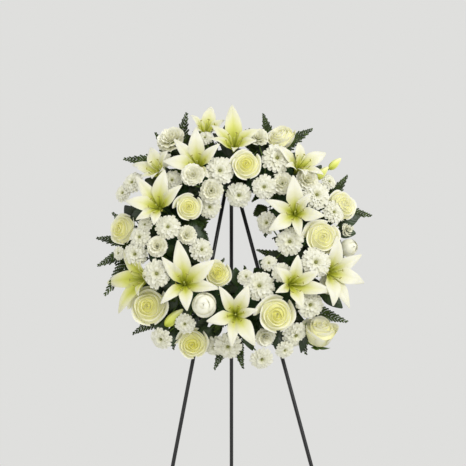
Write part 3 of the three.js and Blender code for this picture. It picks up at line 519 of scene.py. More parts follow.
def blades(middle, thick):
    """Closed thin blades from a stack of grids of points (count, along, across, 3). Each one's two faces
    lie half of `thick` before and behind its grid, along the normals, and share its rim."""
    count, along, across, _ = middle.shape
    normal = np.cross(np.gradient(middle, axis=2), np.gradient(middle, axis=1))
    normal /= np.linalg.norm(normal, axis=-1, keepdims=True) + 1e-9
    inside = np.zeros((along, across), bool)
    inside[1:-1, 1:-1] = True
    front = middle + normal * inside[..., None] * thick / 2
    back = (middle - normal * thick / 2)[:, inside]
    points = np.concatenate([front.reshape(count, -1, 3), back], 1)
    number = np.arange(along * across).reshape(along, across)
    under = number.copy()
    under[inside] = along * across + np.arange(inside.sum())
    faces = np.concatenate([quads(number), quads(under)[:, ::-1]])
    size = points.shape[1]
    uv = np.stack(np.meshgrid(np.linspace(0, 1, across), np.linspace(0, 1, along)), -1)
    uv = np.concatenate([uv.reshape(-1, 2), uv[inside]])
    faces = faces + size * np.arange(count)[:, None, None]
    return {"points": points.reshape(-1, 3), "faces": faces.reshape(-1, 4),
            "uv": np.tile(uv, (count, 1)), "sheet": np.repeat(np.arange(count), size)}


def span(along, across):
    """Parameters of a blade's grid: s from -1 to 1 across it and t from 0 to 1 along it."""
    s, t = np.meshgrid(np.linspace(-1, 1, across), np.linspace(0, 1, along))
    return s[None], t[None]


def stood(parts, at, axes):
    """A bloom's parts, in millimetres about its own middle, put in its seat and into the row frame."""
    return [({**mesh, "points": to_row(at + mesh["points"] @ axes)}, *rest) for mesh, *rest in parts]


def about_axis(out, side, high, angle):
    """Points `out` from a bloom's axis at an angle round it, `side` off that line and `high` up the axis."""
    right, up = out * np.cos(angle) - side * np.sin(angle), out * np.sin(angle) + side * np.cos(angle)
    return np.stack(np.broadcast_arrays(right, up, high), -1)


def lily_petals(angle, reach, sepal, wave):
    """Six petals about a lily's axis. Along t a petal runs out by reach * (0.02 + 0.98 t^1.25), rises from
    the throat as -THROAT * (1 - t)^1.9 and falls back by a share of its reach times t^4. Its width, a
    share of its reach up to WIDEST, is a sine that ends in a point. Its edges stand up near the throat
    and turn down further out, a groove runs along its middle, and a wave runs along its edges."""
    s, t = span(25, 11)
    reach, angle, sepal, wave = (np.reshape(value, (-1, 1, 1)) for value in (reach, angle, sepal, wave))
    full = np.minimum(reach * np.where(sepal, *WIDTH_SHARES) + 7, np.where(sepal, *WIDEST))
    out = reach * (0.02 + 0.98 * t ** 1.25)
    wide = np.minimum(full * np.sin(np.pi * (0.05 + 0.93 * t ** 0.85)) ** 0.9, 1.3 * out + 1)
    high = -THROAT * (1 - t) ** 1.9 - 0.13 * reach * t ** 4 - SEPAL_BACK * sepal
    high = high + wide * s ** 2 * (0.26 * (1 - t) - 0.14 * t)
    high = high - 0.9 * np.exp(-(s / 0.16) ** 2) * np.sin(np.pi * t) ** 0.5
    high = high + 1.7 * np.sin(9 * t + wave) * s * np.abs(s) * np.sin(np.pi * t)
    return about_axis(out, wide / 2 * s + 1.5 * np.sin(5 * t + wave) * t, high, angle)


def stem(start, end, radius, sag=(0, 0, 0), around=8):
    """A green stem as a part: a tube along a line that bows by sag * 4 t (1 - t)."""
    t = np.linspace(0, 1, 7)[:, None]
    path = start + (end - start) * t + np.array(sag) * 4 * t * (1 - t)
    return row(tube(path, radius, around)), green_stem


def knob(size, high, wide, around):
    """A closed round body on a bloom's axis, from its heights and radii as shares of a size."""
    return tube(np.outer(np.array(high) * size, [0, 0, 1]), np.array(wide) * size, around)


def in_ring(turn, tip, out):
    """A point in the ring's section, `out` from its centre line and `tip` from straight forward."""
    reach = RING_RADIUS + out * np.sin(tip)
    return np.array([reach * np.cos(turn), -out * np.cos(tip), reach * np.sin(turn)])


def foot_of(base, out=STEM_END):
    """Where the stem of a bloom with this base ends in the foam, or forks above it: `out` from the
    ring's centre line, on the way there from the base."""
    tip = np.clip(np.arctan2(np.hypot(base[0], base[2]) - RING_RADIUS, -base[1]), -0.96, 0.96)
    return in_ring(np.arctan2(base[2], base[0]), tip, out)


def calc(tree, operation, *values):
    """The result of a sum on values or outputs. MULTIPLY_ADD is first * second + third."""
    return add(tree, "Math", enumerate(values), operation=operation).outputs[0]


def own_map(tree):
    """The piece's own UV map, and its parts: across a sheet and along it."""
    where = add(tree, "UVMap", uv_map="surface").outputs[0]
    parts = add(tree, "SeparateXYZ", {"Vector": where}).outputs
    return where, parts["X"], parts["Y"]


def offside(tree, across):
    """Distance from a sheet's middle line: |across - 0.5|."""
    return calc(tree, "ABSOLUTE", calc(tree, "SUBTRACT", across, 0.5))


def stripes(tree, where, scale, distortion=0.0):
    """Soft stripes along a sheet, `scale` sets of them across it."""
    inputs = {"Vector": where, "Scale": scale, "Distortion": distortion}
    return add(tree, "TexWave", inputs, bands_direction="X").outputs["Fac"]


def kept(tree, title):
    """A number that is kept on the piece's points: its tint or its layer."""
    return add(tree, "Attribute", attribute_name=title).outputs["Fac"]


def flesh(tree, weight, *radius):
    """Lets light sink in and come out near by: its share, and its reach in metres in red, green and blue."""
    for title, value in (("Weight", weight), ("Radius", radius), ("Scale", 1.0)):
        tree.nodes["Principled BSDF"].inputs[f"Subsurface {title}"].default_value = value


# Lily petal: a waxy white skin over pale cells. Yellow green runs from the throat along its middle.
tree, lily_petal = material("waxy_lily_petal")
where, across, along = own_map(tree)
pull = calc(tree, "MULTIPLY_ADD", kept(tree, "tint"), -0.5, 1.6)
spread = calc(tree, "MULTIPLY_ADD", offside(tree, across), 0.5, calc(tree, "MULTIPLY", along, pull))
spread = calc(tree, "ADD", spread, calc(tree, "MULTIPLY_ADD", noise(tree, 90.0, 3.0), 0.10, -0.05))
shade = ramp(tree, spread, (0.0, "6C7416"), (0.20, "969C20"), (0.32, "B4B932"), (0.44, "CCCF5A"),
             (0.56, "DCDC8E"), (0.72, "E6E4BA"), (1.0, "EDEBD4"))
coat(tree, shade, 0.48, stripes(tree, where, 7.0, 1.2), 0.35, 0.0006)
flesh(tree, 0.25, 0.004, 0.004, 0.002)

# Stems: green skin that turns yellower in patches. Filaments go from green to cream towards the tip,
# and anthers are covered in dull olive dust.
tree, green_stem = material("green_stem_skin")
coat(tree, ramp(tree, noise(tree, 60.0, 4.0), (0.3, "3E5A1C"), (0.7, "6B8430")), 0.5)
tree, lily_heart = material("lily_filament")
coat(tree, ramp(tree, own_map(tree)[2], (0.0, "8A9220"), (0.6, "A8AE40"), (1.0, "B6BA62")), 0.45)
tree, pollen = material("olive_anther")
coat(tree, ramp(tree, noise(tree, 900.0, 3.0), (0.3, "8A8030"), (0.7, "B0A850")), 0.9)


def lily_middle(green):
    """Throat, six stamens and pistil. A filament leans out by 17 mm as it rises and its anther lies
    across its tip. The pistil is thicker and ends in a knob."""
    throat = knob(1, [-50, -46, -42, -38], [3.5, 4, 4.2, 2.5], 12)
    throat["uv"] = throat["uv"] * [0, 0.1] + [0.5, 0]
    parts = [(throat, lily_petal, green)]
    t = np.linspace(0, 1, 6)[:, None]
    for i in range(6):
        turn = np.radians(60 * i + 12)
        out = np.array([np.cos(turn), np.sin(turn), 0])
        head = out * 17 + [0, 0, -4]
        path = out * 3 * (1 - t) + [0, 0, -40] * (1 - t) + head * t + out * 3 * np.sin(np.pi * t)
        parts.append((tube(path, 0.8 - 0.2 * t[:, 0], 8), lily_heart))
        cross = np.array([-out[1], out[0], 0.2])
        anther = tube(head + cross * np.linspace(-3.2, 3.2, 6)[:, None], [0.3, 0.9, 1.1, 1.1, 0.9, 0.3], 8)
        parts.append((anther, pollen))
    pistil = tube(np.outer(np.linspace(-42, 1, 7), [0.05, 0, 1]), [1.1, 1.0, 0.9, 0.9, 0.9, 1.6, 1.2], 12)
    return parts + [(pistil, lily_heart)]


bloom_parts = {}
stem_roots = {}
for node, (right, up), face, green, petals in LILIES:
    at, axes = seat(right, up, LILY_STAND, face)
    angle, reach = np.array(petals, float).T
    sepal = np.arange(len(petals)) % 2 == 1
    shape = lily_petals(np.radians(angle), reach, sepal, chance.uniform(0, 6, len(petals)))
    parts = bloom_parts.setdefault(node, [])
    parts += stood([(blades(shape, LILY_PETAL_THICK), lily_petal, green), *lily_middle(green)], at, axes)
    base = at + np.array([0, 0, -THROAT - 3]) @ axes
    foot = stem_roots.setdefault(node, foot_of(base))
    parts.append(stem(base, foot, LILY_STEM, (2, 0, 2), 10))

# Lily buds: six closed petals on a side stem, ribbed along their seams and still green.
# Each is its lily's node, where its foot and its tip are seen, its half width and its depth.
BUDS = [
    ("lily_upper_right", (196, 140), (222, 164), 8, -60),
    ("lily_upper_right", (165, 118), (196, 146), 9, -60),
    ("lily_lower_left", (-148, -189), (-110, -153), 11, -54),
]
BUD_SIDES = 36
tree, bud_skin = material("green_bud_skin")
where, across, along = own_map(tree)
height = calc(tree, "MULTIPLY_ADD", stripes(tree, where, 0.95, 0.4), 0.25, along)
coat(tree, ramp(tree, height, (0.0, "98A428"), (0.3, "CBD34E"), (0.7, "E4E880"), (1.0, "F2F2B8")), 0.45)
for node, foot, tip, wide, depth in BUDS:
    start, end = seen(*foot, depth), seen(*tip, depth - 6)
    t = np.linspace(0.01, 1, 14)
    swell = wide * (np.sin(np.pi * t ** 0.75) ** 0.7 * 0.92 + 0.1 * (1 - t))
    mesh = tube(start + (end - start) * t[:, None], swell, BUD_SIDES)
    rib = 1 + 0.10 * np.cos(6 * np.pi * mesh["uv"][:, 0]) ** 2 - 0.06
    centre = start + (end - start) * np.append(np.repeat(t, BUD_SIDES), [0.01, 1])[:, None]
    mesh["points"] = centre + (mesh["points"] - centre) * rib[:, None]
    fork = stem_roots[node] + (start - stem_roots[node]) * 0.35
    bloom_parts[node] += [(row(mesh), bud_skin), stem(fork, start, BUD_STEM, (0, -4, 0))]
for node, parts in bloom_parts.items():
    piece(f"{node}_bloom", parts, "stand", [node])


# Roses
# Garden-type white roses, just opening: a tight spiral heart, lemon to green, inside cream petals
# whose rims roll back, on a green hip with five narrow sepals.
ROSE_STAND = 112
ROSE_STEM = 2.4
ROSE_PETAL_THICK, SEPAL_THICK = 0.8, 0.6
# Node, place seen from the camera, width, direction it faces, how lemon and how closed it is.
ROSES = [
    ("rose_top", (22, 151), 68, None, 0.95, 0.2),
    ("rose_left_edge", (-243, 15), 74, (-0.62, 0.05), 0.8, 0.4),
    ("rose_inner_left", (-98, 61), 62, None, 0.75, 0.3),
    ("rose_right_edge", (230, 67), 71, (0.5, 0.2), 0.3, 0.3),
    ("rose_right", (184, -2), 81, None, 0.4, 0.25),
    ("rose_lower_left", (-185, -147), 85, (-0.15, 0.0), 0.8, 0.1),
    ("rose_inner_bottom", (-37, -78), 66, (0.15, 0.1), 0.95, 0.4),
    ("rose_lower_right", (87, -166), 80, None, 0.85, 0.1),
    ("rose_corner_right", (180, -190), 96, (0.15, 0.72), 0.2, 0.9),
    ("rose_bottom", (-91, -228), 74, (-0.05, -0.3), 1.0, 0.4),
    ("rose_top_right", (93, 214), 78, (-0.3, 0.6), 0.0, 0.6),
]
ROSE_PETALS = 15
GOLDEN = np.pi * (3 - np.sqrt(5))

# Rose petal: velvety cream, lemon towards the heart and at the petals' feet, paler at the rolled rim.
tree, rose_petal = material("velvety_rose_petal")
along = own_map(tree)[2]
outer_shade = ramp(tree, along, (0.0, "D2D284"), (0.45, "E9E7B6"), (0.8, "F2F0D0"), (1.0, "F8F6E2"))
heart_shade = ramp(tree, along, (0.0, "AEB02C"), (0.5, "DCD868"), (0.85, "ECE88E"), (1.0, "F4F0B0"))
inward = add(tree, "MapRange", {"Value": kept(tree, "layer"), "From Min": 0.25, "From Max": 0.85,
                                "To Min": 1.0, "To Max": 0.0}).outputs[0]
amount = calc(tree, "MULTIPLY", inward, kept(tree, "tint"))
colour = add(tree, "Mix", {"Factor": amount, 6: outer_shade, 7: heart_shade}, data_type="RGBA").outputs[2]
coat(tree, colour, 0.6, noise(tree, 160.0, 4.0), 0.2, 0.0005)
flesh(tree, 0.25, 0.004, 0.004, 0.0015)


def rose_rim(size, k, closed):
    """Radius and height of the rims. From the heart (k = 0) out (k = 1) the radius grows as k^1.1 and the
    height falls as k^2. A closed rose is narrower and its outer rims stand higher."""
    return size * (0.025 + (0.46 - 0.12 * closed) * k ** 1.1), size * (0.12 - (0.24 - 0.14 * closed) * k ** 2)


def rose_petals(size, closed, wave):
    """Cupped petals in a spiral, from the heart (k = 0) to the outermost (k = 1). A petal turns about the
    axis over its half angle. In profile it swells as sin(t), leans in near the heart and rolls back at
    its rim further out. One side edge lies inside its neighbour and the other outside."""
    k = np.linspace(0, 1, ROSE_PETALS)[:, None, None]
    s, t = span(13, 15)
    wave = wave[:, None, None]
    half = np.radians(125 - 66 * k ** 0.5)
    rim, top = rose_rim(size, k, closed)
    foot = size * (0.36 + 0.14 * closed)
    angle = np.arange(ROSE_PETALS)[:, None, None] * GOLDEN
    angle = angle + half * s * (0.55 + 0.45 * np.sin(np.pi / 2 * t))
    roll = np.clip((t - 0.72) / 0.28, 0, 1) ** 2 * (0.1 + 0.9 * k) * (1 - 0.6 * closed)
    out = size * 0.05 + (rim - size * 0.05) * np.sin(np.pi / 2 * t) ** 0.8
    out = out * (1 - 0.10 * (1 - k) * t ** 2) * (1 + 0.08 * s) + size * 0.06 * roll
    high = -foot + (top + foot) * t ** 1.15 - size * 0.13 * np.abs(s) ** 2.5 * t * k ** 0.5
    high = high - size * 0.05 * roll + size * 0.015 * np.sin(4 * s + wave) * t * k
    out = out + size * 0.014 * np.sin(5 * s + wave) * t ** 2
    return about_axis(out, 0, high, angle)


def rose_core(size, closed):
    """The tightly packed inner petals, which show only as a lemon ground: a round body a little inside
    the rims, and below them by size * (0.06 + 0.07 k). It keeps one mid shade of the petal colour,
    darker than the rims, as painted shade in the crevices of the heart. Also the layer of each of its rings."""
    k = np.linspace(0.96, 0, 14)
    rim, top = rose_rim(size, k, closed)
    foot = -size * (0.36 + 0.14 * closed)
    high = np.concatenate([[foot, foot * 0.75], top - size * (0.06 + 0.07 * k)])
    core = knob(1, high, np.concatenate([[size * 0.05, size * 0.24], rim * 0.93 - size * 0.01]), 40)
    # One fixed place on the petal ramp, darker than the rims: painted shade in the crevices between the rims.
    core["uv"] = core["uv"] * [1, 0] + [0, 0.45]
    core["sheet"] = np.append(np.repeat(np.arange(16), 40), [0, 15])
    return core, np.concatenate([[1, 1], k])


for node, (right, up), size, face, lemon, closed in ROSES:
    at, axes = seat(right, up, ROSE_STAND, face)
    core, depths = rose_core(size, closed)
    petals = blades(rose_petals(size, closed, chance.uniform(0, 6, ROSE_PETALS)), ROSE_PETAL_THICK)
    drop = 0.14 * closed
    hip = knob(size, np.array([-0.50, -0.47, -0.41, -0.36, -0.33]) - drop, [0.03, 0.07, 0.09, 0.07, 0.06], 16)
    s, t = span(9, 5)
    turn = np.radians(72 * np.arange(5) + 20)[:, None, None]
    side = size * 0.07 * np.sin(np.pi * (0.2 + 0.78 * t)) * s
    sepals = about_axis(size * (0.05 + 0.30 * t), side, size * (-0.39 - drop + 0.16 * t ** 2), turn)
    parts = stood([
        (petals, rose_petal, lemon, np.linspace(0, 1, ROSE_PETALS)), (core, rose_petal, lemon, depths),
        (hip, green_stem), (blades(sepals, SEPAL_THICK), green_stem)], at, axes)
    base = at + np.array([0, 0, -(0.47 + drop) * size]) @ axes
    parts.append(stem(base, foot_of(base), ROSE_STEM, (2, 0, -2), 10))
    piece(f"{node}_bloom", parts, "stand", [node])


# Chrysanthemums and carnations
# Sprays of white cushion chrysanthemums, four rows of spoon-shaped florets round a small green eye,
# and of small carnations, whose pleated petals have toothed edges and which are balls of cupped
# petals while they open. One stem in the foam forks into the stalks of a spray.
SPRAY_STAND = 98
FORK_OUT = 56
STALK = 1.4
SMALL_PETAL_THICK = 0.5
BALL_PETALS = 9
# Count, reach and rise of each row, from the outermost in.
FLORET_ROWS = [(17, 1.08, 0.00), (16, 0.94, 0.13), (14, 0.74, 0.25), (11, 0.50, 0.33)]
CARNATION_ROWS = [(7, 1.06, -0.06), (7, 0.96, 0.16), (6, 0.74, 0.34), (5, 0.48, 0.45), (4, 0.24, 0.46)]
CARNATION_SPREAD = (0.13, 0.3, 0.1, 2)  # of lean, turn, growth and pleats
# Node, kind, and for each head its place and size, then its own kind and its drop where they differ.
# Kinds: m is a chrysanthemum (a mum), c a carnation and b the ball of one that is still closed.
SPRAYS = [
    ("spray_top", "m", [(-33, 137, 28), (-64, 206, 16, "m", -16)]),
    ("spray_upper_right", "m", [(87, 163, 30), (60, 103, 24), (48, 207, 19, "c")]),
    ("spray_inner_top", "m", [(7, 86, 25), (-55, 61, 23)]),
    ("spray_inner_right", "m", [(114, -12, 27), (66, 28, 22), (70, -57, 16)]),
    ("spray_right", "m", [(170, 86, 27), (206, 50, 23), (196, 114, 16)]),
    ("spray_left", "m", [(-210, -38, 25), (-201, -2, 21), (-245, -36, 14), (-165, -79, 28, "m", -8),
                         (-165, -21, 21, "c"), (-142, 19, 24), (-190, 24, 15)]),
    ("spray_inner_left", "m", [(-72, -29, 24), (-102, 2, 19, "c")]),
    ("spray_inner_bottom", "m", [(50, -105, 29), (96, -76, 19), (22, -86, 17)]),
    ("spray_lower_right", "m", [(168, -55, 29, "m", -8), (156, -144, 27)]),
    ("spray_lower_left", "m", [(-106, -184, 20), (-156, -216, 22), (-66, -145, 26, "b")]),
    ("spray_bottom", "m", [(-16, -231, 27), (55, -258, 23), (-44, -232, 21, "m", 14)]),
    ("spray_bottom_right", "m", [(126, -208, 26), (103, -239, 18), (62, -212, 20, "c")]),
    ("spray_left_top", "m", [(-216, 112, 23), (-236, 90, 19, "m", 10), (-156, 158, 21),
                             (-136, 204, 28, "c")]),
    ("carnations_upper_left", "c", [(-90, 129, 22, "c", -24), (-51, 95, 23, "c", -8), (-133, 117, 20, "m")]),
    ("carnations_upper_right", "c", [(98, 111, 22, "c", 8), (151, 119, 22)]),
    ("carnations_right", "c", [(196, -99, 22, "c", 16), (237, -25, 19, "b"), (236, 13, 14)]),
]


def toned(tree, shade, dark, light="FFFFFF"):
    """A colour multiplied by one between dark and light, at the sheet's tint."""
    inputs = {"Factor": 1.0, 6: shade, 7: ramp(tree, kept(tree, "tint"), (0.0, dark), (1.0, light))}
    return add(tree, "Mix", inputs, data_type="RGBA", blend_type="MULTIPLY").outputs[2]


# Chrysanthemum floret: matt white, a touch of green towards the eye.
tree, floret_white = material("chrysanthemum_floret")
where, across, along = own_map(tree)
shade = ramp(tree, along, (0.0, "CFD198"), (0.3, "E8E7C8"), (0.65, "F3F2DE"), (1.0, "F8F7E9"))
coat(tree, toned(tree, shade, "F0EFE0"), 0.65, stripes(tree, where, 1.0), 0.3, 0.0004)
flesh(tree, 0.2, 0.002, 0.002, 0.0015)

# Eye of the chrysanthemum: tight olive green buttons of unopened florets.
tree, olive_eye = material("unopened_florets")
buttons = cells(tree, 800.0)
coat(tree, ramp(tree, buttons, (0.0, "B4B56C"), (0.7, "74783A")), 0.8, buttons, 0.8, 0.001)

# Carnation petal: matt, papery and creased, white at the rim and greenish cream at the foot.
tree, carnation_petal = material("carnation_petal")
shade = ramp(tree, own_map(tree)[2], (0.0, "E0E2B2"), (0.4, "F4F3D8"), (0.8, "FBFAE8"), (1.0, "FEFDF2"))
coat(tree, toned(tree, shade, "F6F5E8"), 0.75, noise(tree, 260.0, 3.0), 0.3, 0.0005)
flesh(tree, 0.1, 0.002, 0.002, 0.0015)


def floret_row(size, count, reach, rise, turn):
    """One row of florets. Each runs out along t to its reach and rises as rise * sin(t), then dips at its
    tip. Its width swells towards a blunt end and its edges are turned up like a spoon."""
    s, t = span(5, 3)
    jitter = chance.uniform(-1, 1, (3, count, 1, 1))
    angle = turn + 2 * np.pi * (np.arange(count)[:, None, None] + 0.18 * jitter[0]) / count
    long = size * reach * (1 + 0.06 * jitter[1])
    out = long * (0.10 + 0.90 * t)
    wide = 2 * np.pi * size * reach / count * 0.56 * np.sin(np.pi * (0.13 + 0.75 * t)) ** 0.6
    high = size * ((rise + 0.05 * jitter[2]) * np.sin(np.pi / 2 * t) - 0.10 * t ** 3 - 0.02)
    return about_axis(out, wide * s, high + 0.5 * wide * s ** 2, angle)


def chrysanthemum(size):
    """A head of florets in rows, its eye and the green cup under it."""
    parts = []
    for i, (count, reach, rise) in enumerate(FLORET_ROWS):
        florets = blades(floret_row(size, count, reach, rise, 0.3 * i + size), SMALL_PETAL_THICK)
        parts.append((florets, floret_white, chance.uniform(0.3, 1, count)))
    eye = knob(size, [0.02, 0.10, 0.17, 0.21, 0.22], [0.10, 0.115, 0.10, 0.06, 0.015], 16)
    cup = knob(size, [-0.32, -0.28, -0.16, -0.05], [0.08, 0.18, 0.26, 0.28], 14)
    return parts + [(eye, olive_eye), (cup, green_stem)]


def ball(size):
    """A carnation about to open: cupped petals that wrap each other into a ball. A petal follows a sphere
    from the foot up to its rim, which for the innermost ones (k = 0) all but reaches the axis and closes
    the top. The middle of the rim stands off a little, and a closed heart fills the ball."""
    s, t = span(11, 11)
    k = np.linspace(0, 1, BALL_PETALS)[:, None, None]
    foot = np.pi * 0.96
    polar = foot + (np.radians(np.maximum(76 * k - 18, 3) + 12 * k * s ** 2) - foot) * t
    angle = np.arange(BALL_PETALS)[:, None, None] * GOLDEN + size + np.radians(78 - 14 * k) * s
    far = size * (0.80 + 0.20 * k + 0.05 * t ** 4 * (1 - s ** 2) - 0.04 * np.abs(s) ** 3)
    petals = about_axis(far * np.sin(polar), 0, far * np.cos(polar), angle)
    cup = knob(size, [-1.12, -1.06, -0.96, -0.86], [0.10, 0.20, 0.30, 0.36], 14)
    arc = np.pi * np.linspace(0.96, 0.04, 12)
    heart = knob(0.77 * size, np.cos(arc), np.sin(arc), 24)
    heart["uv"] = heart["uv"] * [1, 0] + [0, 0.4]
    shades = chance.uniform(0, 0.7, BALL_PETALS)
    return [(blades(petals, SMALL_PETAL_THICK), carnation_petal, shades), (heart, carnation_petal, 0),
            (cup, green_stem)]


def carnation(size):
    """A head of fan-shaped petals in rows. A petal widens and rises from the foot to its rim, where
    pleats of two sines across it grow with t^2, and its rim is toothed by a faster one with t^3."""
    parts = []
    s, t = span(6, 11)
    for i, (count, reach, rise) in enumerate(CARNATION_ROWS):
        phase = chance.uniform(0, 6, (count, 1, 1))
        lean, turn, grow, pleat = (
            chance.uniform(-1, 1, (4, count, 1, 1)) * np.reshape(CARNATION_SPREAD, (4, 1, 1, 1)))
        angle = 0.5 * i + size + turn + 2 * np.pi * np.arange(count)[:, None, None] / count
        angle = angle + (0.85 if count > 6 else 1.0) * (0.4 + 0.6 * t) * s
        out = size * reach * (1 + grow) * (0.08 + 0.92 * t ** 0.9)
        out = out + size * t ** 3 * (0.05 * np.sin(13 * s + phase) - 0.03)
        pleats = 0.09 * np.sin((5 + pleat) * s + phase) + 0.05 * np.sin(11 * s - phase)
        high = size * (-0.40 + (rise + lean + 0.40) * t ** 0.8) + size * t ** 2 * pleats
        petals = blades(about_axis(out, 0, high, angle), SMALL_PETAL_THICK)
        parts.append((petals, carnation_petal, chance.uniform(0.2, 1, count)))
    cup = knob(size, [-0.62, -0.56, -0.42, -0.26], [0.10, 0.18, 0.22, 0.24], 14)
    return parts + [(cup, green_stem)]


HEADS = {"m": chrysanthemum, "c": carnation, "b": ball}
for node, kind, heads in SPRAYS:
    parts, backs = [], []
    for right, up, size, *rest in heads:
        own = rest[0] if rest else kind
        at, axes = seat(right, up, SPRAY_STAND, None, rest[1] if len(rest) > 1 else 0)
        parts += stood(HEADS[own](size), at, axes)
        backs.append(at - axes[2] * size * (0.3 if own == "m" else 0.6))
    middle = np.mean(backs, 0)
    fork = foot_of(middle, FORK_OUT)
    parts.append(stem(fork, foot_of(middle), THIN_STEM))
    parts += [stem(fork, back, STALK, (0, 3, 0)) for back in backs]
    piece(f"{node}_heads", parts, "stand", [node])


# Leatherleaf fern
# Cut fronds of leatherleaf, wired in bunches to stems in the foam's sides: stiff and dark, with
# toothed leaflets that get shorter towards the tip.
# Node, turn round the ring, where each frond's tip is seen, and whether it points into the hole.
FERN_BUNCHES = [
    ("fern_upper_left", 130, [(-169, 218), (-236, 162), (-102, 260)], False),
    ("fern_top", 66, [(58, 258), (163, 225)], False),
    ("fern_right", 17, [(236, 128), (287, 42)], False),
    ("fern_left", 186, [(-293, -4), (-291, -63), (-276, -126), (-259, 50)], False),
    ("fern_lower_left", 232, [(-217, -206), (-131, -239)], False),
    ("fern_bottom", 268, [(-45, -281), (16, -279)], False),
    ("fern_lower_right", 310, [(236, -181), (148, -250)], False),
    ("fern_inner_left", 163, [(-39, 58), (-62, 24), (-49, -40)], True),
    ("fern_inner_right", 40, [(39, 45), (62, -2)], True),
]
FROND_DEPTHS = (-12, 0, -24, -6)
LEAFLET_PAIRS = 12
TEETH = 6
FROND_ARCH = 0.08
LEAFLET_THICK = 0.5
FERN_FORK_OUT = 50

# Fern leaflet: dark green with little gloss, paler along the rib.
tree, fern_green = material("leatherleaf_frond")
shade = ramp(tree, noise(tree, 45.0, 4.0), (0.3, "25320C"), (0.7, "4A5E1E"))
coat(tree, toned(tree, shade, "9AA090"), 0.55)
tree.nodes["Principled BSDF"].inputs["Specular IOR Level"].default_value = 0.2


def facing(start, end):
    """Length of a leaf or frond from start to end, and its axes: along it, to its side, and its front,
    which is the wreath's front less what lies along it."""
    along = end - start
    long = np.linalg.norm(along)
    along = along / long
    front = np.array([0, -1, 0]) - along * -along[1]
    front /= np.linalg.norm(front)
    return long, along, np.cross(front, along), front


def frond(start, end, wide, bare):
    """A frond from its stem to its tip: a rib that arches to the front by FROND_ARCH * length * 4 t (1 - t),
    bare for a share of its length, then with pairs of leaflets whose lengths fall towards the tip. Along
    q a leaflet narrows as (1 - q)^0.6 and its edges step in and out at every tooth."""
    long, along, side, front = facing(start, end)

    def rib_at(t):
        return start + along * long * t + front * FROND_ARCH * long * 4 * t * (1 - t)

    step = np.arange(LEAFLET_PAIRS)[:, None, None]
    share = step / LEAFLET_PAIRS
    sheets = []
    q = np.linspace(0, 1, 2 * TEETH + 1)[None, :, None]
    s = np.array([-1, 0, 1])[None, None, :]
    tooth = np.where(np.arange(2 * TEETH + 1) % 2 == 1, 1.0, 0.5)[None, :, None]
    for hand in (-1, 1):
        root = rib_at((bare + (1 - bare) * (share + 0.3 * (hand > 0) / LEAFLET_PAIRS))[..., None])
        reach = wide / 2 * (1 - 0.88 * share ** 1.1) * (1 + 0.12 * np.sin(3 * step + hand + start[0]))
        lean = np.radians(66 - 26 * share) - 0.3 * q
        half = (0.20 * reach * (1 - q) ** 0.6 + 1.0) * tooth * np.abs(s) + 0.25
        forward = reach * q * np.cos(lean) + half * s * hand * np.sin(lean) * 0.9
        outward = hand * (reach * q * np.sin(lean)) - half * s * np.cos(lean)
        sink = -0.12 * reach * q ** 2 - 0.15 * half * np.abs(s)
        sheets.append(root + along * forward[..., None] + side * outward[..., None] + front * sink[..., None])
    leaflets = blades(np.concatenate(sheets), LEAFLET_THICK)
    t = np.linspace(0, 1, 12)[:, None]
    return [(row(leaflets), fern_green, chance.uniform(0, 1, 2 * LEAFLET_PAIRS)),
            (row(tube(rib_at(t), 1.1 * (1 - 0.75 * t[:, 0]), 6)), fern_green, 0.6)]


for node, turn, tips, inside in FERN_BUNCHES:
    lean = np.radians(-80 if inside else 80)
    foot, joint = (in_ring(np.radians(turn), lean, out) for out in (STEM_END, FERN_FORK_OUT))
    parts = [stem(joint, foot, THIN_STEM)]
    for tip, depth in zip(tips, FROND_DEPTHS):
        end = seen(*tip, depth)
        wide = 42 if inside else 0.46 * np.linalg.norm(end - joint)
        parts += frond(joint, end, wide, 0.25)
    piece(f"{node}_fronds", parts, "stand", [node])


# Salal leaves
# Broad leathery leaves between the blooms, each on a short stalk that comes off a bloom's stem or a
# leafy stem of its own, and the greenery that covers the foam under the blooms.
# Node, where the stem's top is seen, and where each leaf's tip is.
LEAFY_STEMS = [
    ("leaves_inner_left", (-118, 2), [(-66, 28), (-58, -2), (-76, -60)]),
    ("leaves_right", (196, 12), [(224, -52), (252, 6), (260, 42)]),
]
# Where the stalk starts and where the tip is seen, and the width.
LOOSE_LEAVES = [
    ((22, 151), (-32, 196), 28), ((-69, 110), (-98, 84), 26), ((-200, 20), (-232, 64), 28),
    ((-167, 67), (-222, 32), 26), ((161, -100), (224, -150), 30), ((-160, -140), (-152, -228), 30),
    ((87, -166), (90, -246), 26), ((150, -170), (138, -244), 20), ((-150, 92), (-190, 120), 30),
    ((36, 168), (66, 198), 30), ((-112, -112), (-152, -156), 32), ((-44, -186), (-70, -214), 30),
    ((10, -170), (36, -240), 26), ((64, -182), (84, -230), 26), ((-128, -176), (-136, -230), 28),
]
LEAF_THICK = 0.7
LEAFY_STAND, TIP_DEPTH, LEAFY_WIDTH = 60, -45, 28
LOOSE_STAND, LOOSE_TIP_DEPTH = 50, -40

# Salal leaf: thick dark green cuticle with a waxy gloss and paler side veins.
tree, salal_leaf = material("waxy_salal_leaf")
where, across, along = own_map(tree)
slant = calc(tree, "MULTIPLY_ADD", offside(tree, across), -0.5, along)
vein = calc(tree, "SINE", calc(tree, "MULTIPLY", slant, 44.0))
mixed = calc(tree, "MULTIPLY_ADD", vein, 0.06, noise(tree, 50.0, 4.0))
shade = ramp(tree, mixed, (0.3, "1A2A0C"), (0.6, "2E4618"), (0.8, "405A26"))
coat(tree, toned(tree, shade, "8A9480", "FFFFF0"), 0.36, vein, 0.25, 0.0006)


